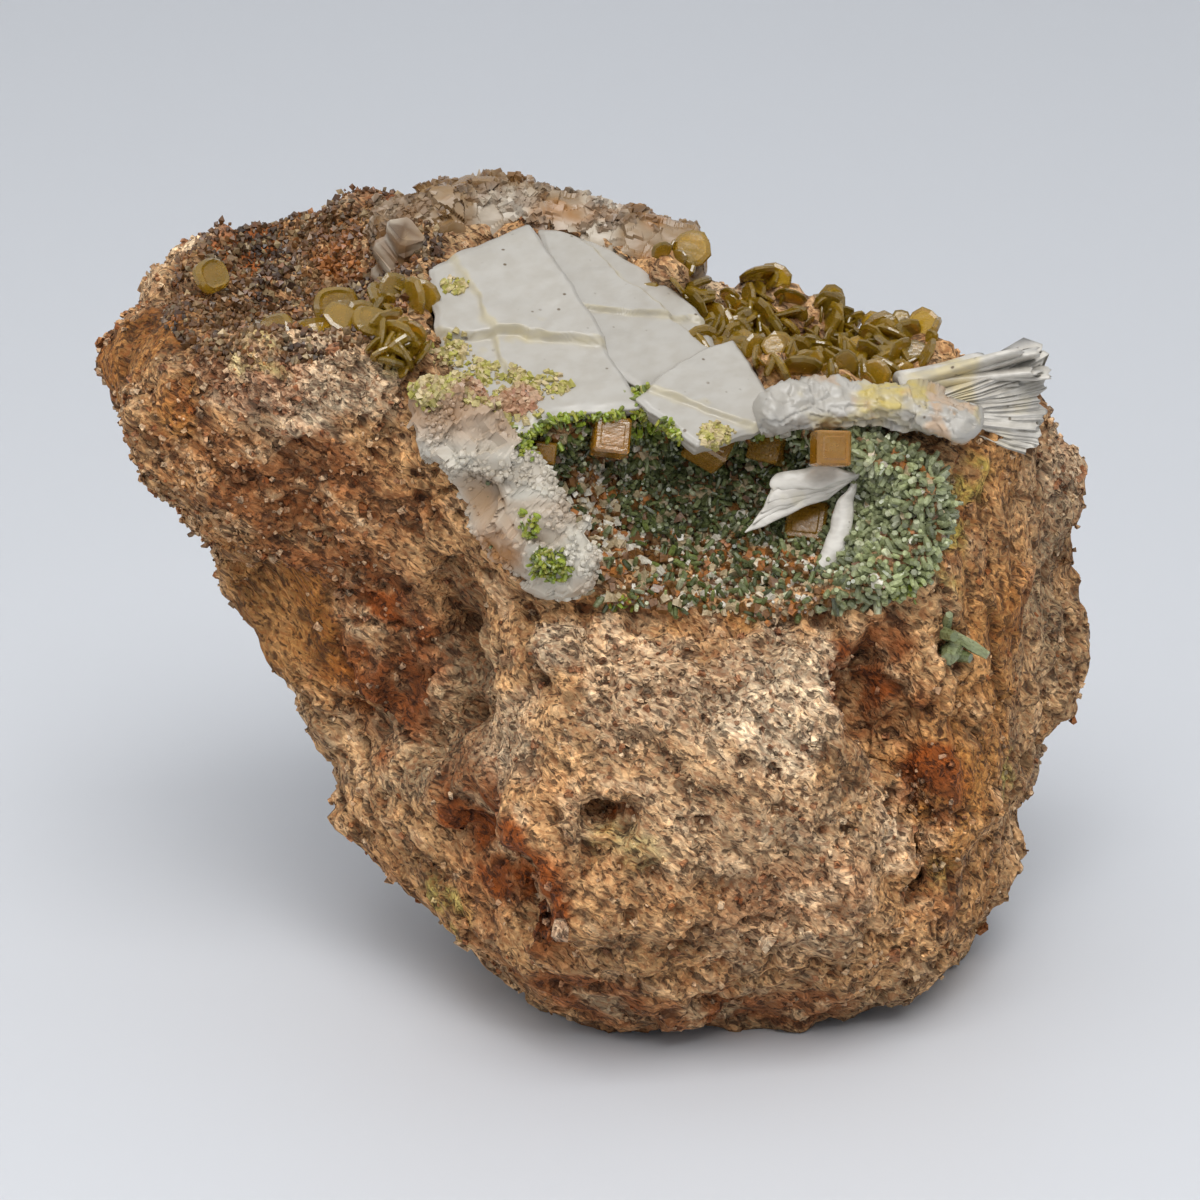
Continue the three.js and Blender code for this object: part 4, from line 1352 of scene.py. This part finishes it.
class CLUSTER_OT_quartz_lip(bpy.types.Operator):
    """The pale quartz lip left of the pocket: a lumpy oval bar under a druse of small six-sided points."""

    bl_idname = "cluster.quartz_lip"
    bl_label = "Quartz lip"

    def execute(self, context):
        settings = context.scene.cluster_quartz
        chance = np.random.default_rng(23)
        rings, out = bar(LIP_PATH, LIP_WIDTH, LIP_HEIGHT, 150, 70, end=0.5)
        points = rings.reshape(-1, 3)
        swell = (
            0.75 * fractal(points, 3.4, 421, 3) + 0.55 * chips(points, 2.0, 425)
            + 0.15 * chips(points, 0.8, 429)
        )
        swell -= 1.6 * near(points, SOCKET, 2.0)
        body = loft(rings + swell.reshape(rings.shape[:2])[..., None] * out)
        seats, ways = body[0][1:-1], out.reshape(-1, 3)
        chosen = picked(chance, smooth(-0.35, 0.3, fractal(seats, 2.2, 433, 2)), settings.points)
        point = crystal(polygon(6), ((1, -0.5), (1, 0.45)), tip=0.75)
        width = 0.08 + 0.2 * chance.random(len(chosen)) ** 2
        sizes = np.stack((width, width, width * chance.uniform(1.0, 1.7, len(chosen))), 1)
        turns = standing(shaken(ways[chosen], 0.7, chance), chance.uniform(0, 6.3, len(chosen)))
        druse = copies(point, seats[chosen], turns, sizes)
        shape = joined((body, druse))
        tones = even_tone(settings.clear, len(shape[0]))
        tones = mixed(tones, settings.stained, 0.35 * smooth(0.1, 0.6, fractal(shape[0], 3.4, 431, 3)))
        tones = mixed(tones, settings.smoky, 0.3 * smooth(0.0, 0.5, fractal(shape[0], 2.2, 435, 2)))
        tones = mixed(tones, settings.stained, 0.75 * smooth(40.5, 43.0, shape[0][:, 2]))
        tones = mixed(tones, context.scene.cluster_rock.ochre, 0.9 * near(shape[0], (-6.6, -15.2, 35.0), 2.6))
        tones = mixed(tones, context.scene.cluster_rock.tan, 0.9 * near(shape[0], SOCKET, 2.4))
        surface(LIP, shape, quartz_material("sugary_quartz", 0.3, 0.25), ("quartz_lip",), tones)
        return {"FINISHED"}


# Pyromorphite


def barrels(seats, ways, radius, reach, chance, disorder):
    """Six-sided barrels, thickest at mid-length, one out of every seat but shaken off line."""
    number = len(seats)
    barrel = crystal(polygon(6), ((0.75, -0.3), (1.0, 0.45), (0.72, 1.0)))
    width = radius * chance.uniform(0.65, 1.3, number)
    sizes = np.stack((width, width, reach * chance.uniform(0.6, 1.25, number)), 1)
    turns = standing(shaken(ways, disorder, chance), chance.uniform(0, 6.3, number))
    return copies(barrel, seats, turns, sizes), len(barrel[0])


class CLUSTER_OT_pocket_crust(bpy.types.Operator):
    """The crust of the front pocket: green barrels on its walls and roof, and a druse on its floor."""

    bl_idname = "cluster.pocket_crust"
    bl_label = "Pocket crust"

    def execute(self, context):
        settings = context.scene.cluster_pyromorphite
        druse = context.scene.cluster_druse
        chance = np.random.default_rng(29)
        points, normals = skin(ROCK)
        inside = in_hollow(points, POCKET)
        bare = near(points, (-1.2, -10.8, 36.2), 7.5)
        floor = smooth(35.6, 33.2, points[:, 2]) * smooth(15.5, 13.5, points[:, 0])
        weights = inside * (1 - 0.97 * bare) * (1 - 0.95 * floor)
        chosen = picked(chance, weights ** 2, settings.barrels)
        seats, ways = points[chosen], normals[chosen]
        right = smooth(12.0, 16.0, seats[:, 0])
        shape, corners = barrels(
            seats, ways, settings.radius / MM * (0.85 + 0.3 * right), settings.reach / MM, chance, 0.9)
        tones = even_tone(settings.deep, len(seats))
        tones = mixed(tones, settings.pale, 0.8 * right + 0.5 * chance.random(len(seats)) ** 2)
        roof = smooth(39.6, 41.4, seats[:, 2]) * (1 - right)
        patches = smooth(0.1, 0.55, fractal(seats, 2.8, 501, 2))
        tones = mixed(tones, settings.lime, 0.85 * roof * chance.random(len(seats)) + 0.15 * patches)
        tones = mixed(tones, paint("D5D8B4"), 0.8 * (chance.random(len(seats)) < 0.09))
        tones *= chance.uniform(0.4, 1.4, (len(seats), 1))
        material = grain_material("pyromorphite_barrels", 0.32, 0.35)
        surface(
            "pocket_barrels", shape, material, ("pocket_pyromorphite",),
            np.repeat(tones, corners, axis=0))
        chosen = picked(chance, inside ** 2 * (0.22 + floor + 0.5 * bare), 3400)
        seats, ways = points[chosen], normals[chosen]
        width = 0.16 + 0.36 * chance.random(len(chosen)) ** 2
        sizes = width[:, None] * chance.uniform(0.7, 1.3, (len(chosen), 3))
        turns = standing(shaken(ways, 0.9, chance), chance.uniform(0, 6.3, len(chosen)))
        kinds = np.array([druse.cream, druse.orange, druse.brown, context.scene.cluster_quartz.clear])
        tones = kinds[chance.choice(4, len(chosen), p=(0.36, 0.12, 0.34, 0.18))]
        shape = copies(chunk(), seats + 0.2 * width[:, None] * ways, turns, sizes)
        material = grain_material("floor_druse", 0.35, 0.3)
        surface("pocket_floor_druse", shape, material, tones=np.repeat(tones, 8, axis=0))
        return {"FINISHED"}


class CLUSTER_OT_crack_sprig(bpy.types.Operator):
    """The sprig of green barrels in the crack on the right side."""

    bl_idname = "cluster.crack_sprig"
    bl_label = "Sprig in the crack"

    def execute(self, context):
        settings = context.scene.cluster_pyromorphite
        chance = np.random.default_rng(31)
        low, high = (np.array(corner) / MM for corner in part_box("crack_pyromorphite"))
        ways = np.array(
            ((0.8, -0.5, -0.35), (0.7, -0.6, -0.15), (0.4, -0.8, 0.25), (0.1, -0.6, 0.7), (-0.3, -0.8, -0.2)))
        root = np.array((0.5 * (low[0] + high[0]), high[1] - 0.6, 0.5 * (low[2] + high[2])))
        seats = root + chance.uniform(-1, 1, (5, 3)) * (0.8, 0.3, 0.8) + (0, -0.2, 0)
        shape, corners = barrels(seats, ways, 0.56, 1.75, chance, 0.15)
        tones = mixed(even_tone(settings.pale, 5), settings.deep, chance.uniform(0.3, 0.8, 5))
        material = grain_material("pyromorphite_barrels", 0.32, 0.35)
        surface(
            "crack_barrels", shape, material, ("crack_pyromorphite",),
            np.repeat(tones, corners, axis=0))
        return {"FINISHED"}


# Crusts on several pieces

LIME_TUFTS = (
    ((-5.3, -13.9, 41.2), 1.5), ((-4.2, -13.4, 42.3), 1.3), ((-2.2, -12.9, 43.0), 1.5),
    ((0.0, -11.8, 43.0), 1.5), ((2.1, -10.6, 42.8), 1.4), ((4.4, -12.9, 42.2), 1.2),
    ((-3.6, -16.7, 34.1), 1.6), ((0.9, -14.4, 31.0), 1.5), ((18.6, -13.8, 32.2), 1.9),
    ((12.4, -12.2, 41.0), 1.2), ((22.6, -12.6, 40.0), 1.1), ((-4.7, -16.0, 36.6), 0.9),
)
GREEN_CRUST = (
    ((-9.8, -8.6, 46.2), 2.0), ((-7.8, -10.2, 45.5), 2.0), ((-5.6, -10.9, 45.2), 1.7),
    ((-3.4, -11.2, 44.9), 1.8), ((-10.2, -12.8, 44.8), 2.2), ((-2.4, -10.0, 45.4), 0.9),
    ((7.0, -14.0, 42.0), 1.6), ((-9.6, -3.4, 48.4), 1.0),
)
PINK_CRUST = (((-5.4, -12.6, 44.1), 2.4), ((-7.4, -13.0, 44.4), 2.2))


def seats_near(points, hearts):
    """How near points are to the nearest of several hearts: 1 at one, 0 outside every radius."""
    return np.max([near(points, heart, radius) for heart, radius in hearts], axis=0)


class CLUSTER_OT_mixed_crusts(bpy.types.Operator):
    """Crusts that run over several pieces.

    Lime tufts, a yellow-green crust and a pink-brown granular patch.
    """

    bl_idname = "cluster.mixed_crusts"
    bl_label = "Mixed crusts"

    def execute(self, context):
        settings = context.scene.cluster_pyromorphite
        rock = context.scene.cluster_rock
        chance = np.random.default_rng(43)
        plates = ["barite_plate_" + plate[0] + "_cleaved" for plate in PLATES]
        points, normals = skin(ROCK, LIP, *plates)
        chosen = picked(chance, seats_near(points, LIME_TUFTS) * (normals[:, 2] < 0.45), 1300)
        shape, corners = barrels(points[chosen], normals[chosen], 0.13, 0.46, chance, 0.9)
        tones = mixed(
            even_tone(settings.lime, len(chosen)), settings.deep,
            chance.random(len(chosen)) ** 1.5)
        tones = mixed(tones, rock.lime, 0.9 * chance.random(len(chosen)) ** 2)
        material = grain_material("pyromorphite_barrels", 0.32, 0.35)
        surface("lime_tufts", shape, material, tones=np.repeat(tones, corners, axis=0))
        green, pink = seats_near(points, GREEN_CRUST), seats_near(points, PINK_CRUST)
        chosen = picked(chance, np.maximum(green * (1 - 0.7 * pink), pink), 3000)
        width = 0.14 + 0.28 * chance.random(len(chosen)) ** 2
        sizes = width[:, None] * chance.uniform(0.7, 1.3, (len(chosen), 3))
        turns = standing(shaken(normals[chosen], 0.9, chance), chance.uniform(0, 6.3, len(chosen)))
        tones = mixed(
            even_tone(rock.lime, len(chosen)), rock.cream, 0.8 * chance.random(len(chosen)))
        rosy = mixed(
            even_tone(paint("B27A58"), len(chosen)), rock.cream,
            0.6 * chance.random(len(chosen)))
        tones = mixed(tones, rosy, smooth(0.25, 0.6, pink[chosen]))
        shape = copies(chunk(), points[chosen] + 0.15 * width[:, None] * normals[chosen], turns, sizes)
        surface(
            "plate_crust", shape, grain_material("plate_crust", 0.5, 0.1),
            tones=np.repeat(tones, 8, axis=0))
        return {"FINISHED"}


# Druse and wulfenite


class CLUSTER_OT_shoulder_druse(bpy.types.Operator):
    """The brown druse of the shoulder hollow: grains of several tones heaped on its wall."""

    bl_idname = "cluster.shoulder_druse"
    bl_label = "Shoulder druse"

    def execute(self, context):
        settings = context.scene.cluster_druse
        chance = np.random.default_rng(37)
        points, normals = skin(ROCK)
        chosen = picked(chance, in_hollow(points, SHOULDER) ** 2, settings.grains)
        seats, ways = points[chosen], normals[chosen]
        width = settings.width / MM * chance.uniform(0.5, 1.5, len(chosen))
        sizes = width[:, None] * chance.uniform(0.6, 1.2, (len(chosen), 3))
        turns = standing(shaken(ways, 1.2, chance), chance.uniform(0, 6.3, len(chosen)))
        heap = 0.5 * np.maximum(fractal(seats, 2.2, 601, 2), -0.2)
        rise = (0.2 * width + heap * chance.random(len(chosen)))[:, None]
        patch = fractal(seats, 3.2, 605, 2)
        tones = mixed(
            even_tone(settings.brown, len(chosen)), settings.dark,
            0.9 * smooth(0.0, 0.5, patch))
        tones = mixed(tones, settings.cream, 0.9 * chance.random(len(chosen)) ** 4)
        tones = mixed(
            tones, settings.orange,
            0.8 * near(seats, (-17.6, 5.5, 48.0), 3.0) + 0.5 * (chance.random(len(chosen)) < 0.1))
        tones *= chance.uniform(0.35, 1.15, (len(chosen), 1)) * (1.0, 0.93, 0.8)
        shape = copies(dipyramid(), seats + rise * ways, turns, sizes)
        material = grain_material("brown_druse", 0.45, 0.2)
        surface(
            "shoulder_druse_grains", shape, material, ("shoulder_druse",),
            np.repeat(tones, 6, axis=0))
        return {"FINISHED"}


def tablet_shape(columns, dish=0.0):
    """A rounded tablet of half-width 1 and half-thickness 1.

    Flat faces, dished if asked, and a bevelled rim.
    """
    outline = polygon(columns, 2.8)
    below = ((0.3, -1.0), (0.8, -1.0), (1.0, -0.35))
    above = ((1.0, 0.35), (0.8, 1.0), (0.64, 1.0 - 0.6 * dish), (0.3, 1.0 - dish))
    return crystal(outline, below + above)


class CLUSTER_OT_shoulder_tablets(bpy.types.Operator):
    """The five larger wulfenite tablets of the shoulder hollow, the front one dished inside a raised rim."""

    bl_idname = "cluster.shoulder_tablets"
    bl_label = "Shoulder tablets"

    def execute(self, context):
        settings = context.scene.cluster_wulfenite
        material = wulfenite_material("honey_wulfenite", 0.7, settings.honey, 250.0)
        for seed, (name, (width, thickness, turn)) in enumerate(TABLETS.items()):
            node = "shoulder_tablet_" + name
            low, high = (np.array(corner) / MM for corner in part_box(node))
            points, quads, triangles = tablet_shape(28, 0.9 if name == "front" else 0.25)
            points = points * (width / 2, width / 2 * 0.85, thickness * 0.38)
            points += 0.07 * np.stack([noise(points, 0.7, 611 + 3 * seed + k) for k in range(3)], 1)
            points = points @ turned(turn).T + (low + high) / 2 + (0.0, -1.8, 0.5)
            share = 0.5 + 0.5 * fractal(points, 1.6, 631 + seed, 2)
            tones = mixed(even_tone(settings.olive, len(points)), settings.honey, share)
            surface(node + "_grown", (points, quads, triangles), material, (node,), tones)
        return {"FINISHED"}


class CLUSTER_OT_basin_tablets(bpy.types.Operator):
    """The basin's crust of yellow wulfenite tablets, standing on edge on its walls and along its rim."""

    bl_idname = "cluster.basin_tablets"
    bl_label = "Basin tablets"

    def execute(self, context):
        settings = context.scene.cluster_wulfenite
        chance = np.random.default_rng(41)
        points, normals = skin(ROCK)
        weights = in_hollow(points, BASIN) ** 2 + 0.6 * near(points, (17.0, 4.0, 44.0), 4.5)
        for heart, radius in YELLOW_MASSES:
            weights += 4.0 * near(points, heart, radius)
        chosen = picked(chance, weights, settings.tablets)
        seats, ways = points[chosen], normals[chosen]
        half = 0.5 * settings.width / MM * chance.uniform(0.5, 1.5, len(chosen))
        across = np.cross(ways, shaken(ways, 3.0, chance))
        axes = shaken(across / np.linalg.norm(across, axis=1, keepdims=True), 0.5, chance)
        other = half * chance.uniform(0.75, 1.0, len(chosen))
        sizes = np.stack((half, other, half * chance.uniform(0.13, 0.26, len(chosen))), 1)
        turns = standing(axes, chance.uniform(0, 6.3, len(chosen)))
        tablet = tablet_shape(10)
        shape = copies(tablet, seats + (0.45 * half)[:, None] * ways, turns, sizes)
        tones = mixed(
            even_tone(settings.olive, len(chosen)), settings.honey, chance.random(len(chosen)))
        material = wulfenite_material("honey_wulfenite", 0.7, settings.honey, 250.0)
        surface(
            "basin_tablets", shape, material, ("basin_wulfenite",),
            np.repeat(tones, len(tablet[0]), axis=0), rounded=False)
        return {"FINISHED"}


class CLUSTER_OT_amber_blocks(bpy.types.Operator):
    """The amber wulfenite blocks of the pocket: square, with cut edges and a stepped upper face."""

    bl_idname = "cluster.amber_blocks"
    bl_label = "Amber blocks"

    def execute(self, context):
        settings = context.scene.cluster_wulfenite
        material = wulfenite_material("amber_resin", 0.7, paint("E8B64E"), 150.0)
        for seed, (name, (width, height)) in enumerate(AMBER_SIZES.items()):
            node = "amber_block_" + name
            low, high = (np.array(corner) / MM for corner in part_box(node))
            half, tall = width / 2, height / 2
            profile = (
                (half * 0.9, -tall), (half, -tall * 0.86), (half, tall * 0.2), (half * 0.985, tall * 0.24),
                (half * 0.985, tall * 0.78), (half * 0.86, tall * 0.94), (half * 0.66, tall * 0.94),
                (half * 0.6, tall),
            )
            points, quads, triangles = crystal(block_outline(0.12), profile)
            spin = turned((0, 0, 45))
            points = points @ (turned(AMBER_TURNS[name]) @ spin).T + (low + high) / 2
            tones = even_tone(settings.amber, len(points))
            surface(node + "_grown", (points, quads, triangles), material, (node,), tones)
        return {"FINISHED"}


# Stage


LIGHT_BOUNCES = {"max": 4, "diffuse": 2, "glossy": 2, "transmission": 4}  # keep the render short


def sweep_shape():
    """A round floor that curves up into a wall all round.

    A profile of (radius, height) turned about the vertical.
    """
    bend = np.radians(np.linspace(0, 80, 24))
    radius = np.concatenate((np.linspace(0.02, 0.8, 20), 0.8 + 0.7 * np.sin(bend), (1.55, 1.6)))
    height = np.concatenate((np.zeros(20), 0.7 * (1 - np.cos(bend)), (0.95, 1.4)))
    angle = np.arange(96) * 2 * np.pi / 96
    rings = np.stack(
        (np.outer(radius, np.cos(angle)), np.outer(radius, np.sin(angle)), np.outer(height, np.ones(96))), 2)
    points = np.concatenate((np.zeros((1, 3)), rings.reshape(-1, 3)))
    quads, triangles = tube_faces(len(radius), 96)
    return points, quads[:, ::-1], triangles[:96, ::-1]


class CLUSTER_OT_stage(bpy.types.Operator):
    """Pale sweep, painted paler towards its wall as painted light, soft lights and the camera at the
    picture's viewing angle.
    """

    bl_idname = "cluster.stage"
    bl_label = "Stage"

    def execute(self, context):
        settings = context.scene.cluster_stage
        scene = context.scene
        points, quads, triangles = sweep_shape()
        mesh = bpy.data.meshes.new("sweep")
        mesh.from_pydata(points.tolist(), [], quads.tolist() + triangles.tolist())
        mesh.polygons.foreach_set("use_smooth", np.ones(len(mesh.polygons), bool))
        material, tree, shader = finish("pale_sweep")
        place = add(tree, "ShaderNodeTexCoord").outputs["Object"]
        mottle = add(tree, "ShaderNodeTexNoise", {"Vector": place, "Scale": 3.0, "Detail": 2.0}).outputs[0]
        away = add(tree, "ShaderNodeVectorMath", {0: place}, operation="LENGTH").outputs["Value"]
        # Painted light: the sweep grows paler away from the specimen, up to 1.25 times its floor colour, to
        # make up for the lesser light on its far wall.
        wall = ranged(tree, math(tree, "ADD", away, math(tree, "MULTIPLY", mottle, 0.1)), 0.15, 0.9)
        pale = np.array(settings.floor)
        tree.links.new(
            tinted(tree, wall, rgba(pale), rgba(np.minimum(pale * 1.25, 0.92))), shader.inputs["Base Color"])
        shader.inputs["Roughness"].default_value = 0.45
        mesh.materials.append(material)
        sweep = bpy.data.objects.new("sweep", mesh)
        scene.collection.objects.link(sweep)
        for name, spot, size, power in (
            ("key", (0.02, -0.3, 0.5), 0.36, settings.key_power),
            ("fill", (-0.5, -0.3, 0.35), 0.4, settings.fill_power),
        ):
            lamp = bpy.data.lights.new(name, "AREA")
            lamp.size, lamp.energy = size, power
            light = bpy.data.objects.new(name, lamp)
            light.location = spot
            light.rotation_euler = (Vector((0, 0, 0.025)) - Vector(spot)).to_track_quat("-Z", "Y").to_euler()
            scene.collection.objects.link(light)
        world = bpy.data.worlds.new("soft_room")
        world.use_nodes = True
        world.node_tree.nodes["Background"].inputs["Color"].default_value = (0.96, 0.98, 1.0, 1)
        world.node_tree.nodes["Background"].inputs["Strength"].default_value = 0.66
        scene.world = world
        scene.view_settings.view_transform = "Standard"
        for kind, bounces in LIGHT_BOUNCES.items():
            setattr(scene.cycles, kind + "_bounces", bounces)
        aim = Vector((-0.387, -2.98, 26.93)) * MM
        back = Vector((0, -np.cos(settings.elevation), np.sin(settings.elevation)))
        lens = bpy.data.cameras.new("camera")
        lens.sensor_width = 36
        lens.lens = lens.sensor_width * settings.distance / settings.field
        lens.clip_start, lens.clip_end = 0.005, 20
        camera = bpy.data.objects.new("camera", lens)
        camera.location = aim + back * settings.distance
        camera.rotation_euler = (-back).to_track_quat("-Z", "Y").to_euler()
        scene.collection.objects.link(camera)
        scene.camera = camera
        return {"FINISHED"}


SETTINGS = {
    "cluster_rock": RockSettings,
    "cluster_barite": BariteSettings,
    "cluster_quartz": QuartzSettings,
    "cluster_pyromorphite": PyromorphiteSettings,
    "cluster_wulfenite": WulfeniteSettings,
    "cluster_druse": DruseSettings,
    "cluster_stage": StageSettings,
}
OPERATORS = (
    CLUSTER_OT_rock, CLUSTER_OT_rock_grains, CLUSTER_OT_barite_plates, CLUSTER_OT_barite_rim,
    CLUSTER_OT_barite_fan, CLUSTER_OT_pocket_blade, CLUSTER_OT_quartz_crest, CLUSTER_OT_quartz_lip,
    CLUSTER_OT_pocket_crust, CLUSTER_OT_mixed_crusts,
    CLUSTER_OT_crack_sprig, CLUSTER_OT_shoulder_druse, CLUSTER_OT_shoulder_tablets,
    CLUSTER_OT_basin_tablets, CLUSTER_OT_amber_blocks, CLUSTER_OT_stage,
)


class CLUSTER_PT_panel(bpy.types.Panel):
    """The pieces of the specimen, in the order in which they are built, and their settings."""

    bl_idname = "CLUSTER_PT_panel"
    bl_label = "Mineral cluster"
    bl_space_type = "VIEW_3D"
    bl_region_type = "UI"
    bl_category = "Cluster"

    def draw(self, context):
        for operator in OPERATORS:
            self.layout.operator(operator.bl_idname)
        for name, settings in SETTINGS.items():
            column = self.layout.column(heading=name)
            for key in settings.__annotations__:
                column.prop(getattr(context.scene, name), key)


def register():
    for made in (*SETTINGS.values(), *OPERATORS, CLUSTER_PT_panel):
        bpy.utils.register_class(made)
    for name, settings in SETTINGS.items():
        setattr(bpy.types.Scene, name, PointerProperty(type=settings))


def unregister():
    for name in SETTINGS:
        delattr(bpy.types.Scene, name)
    for made in reversed((*SETTINGS.values(), *OPERATORS, CLUSTER_PT_panel)):
        bpy.utils.unregister_class(made)


def main():
    register()
    bpy.ops.cluster.rock()
    bpy.ops.cluster.rock_grains()
    bpy.ops.cluster.barite_plates()
    bpy.ops.cluster.barite_rim()
    bpy.ops.cluster.barite_fan()
    bpy.ops.cluster.pocket_blade()
    bpy.ops.cluster.quartz_crest()
    bpy.ops.cluster.quartz_lip()
    bpy.ops.cluster.pocket_crust()
    bpy.ops.cluster.mixed_crusts()
    bpy.ops.cluster.crack_sprig()
    bpy.ops.cluster.shoulder_druse()
    bpy.ops.cluster.shoulder_tablets()
    bpy.ops.cluster.basin_tablets()
    bpy.ops.cluster.amber_blocks()
    bpy.ops.cluster.stage()


if __name__ == "__main__":
    main()
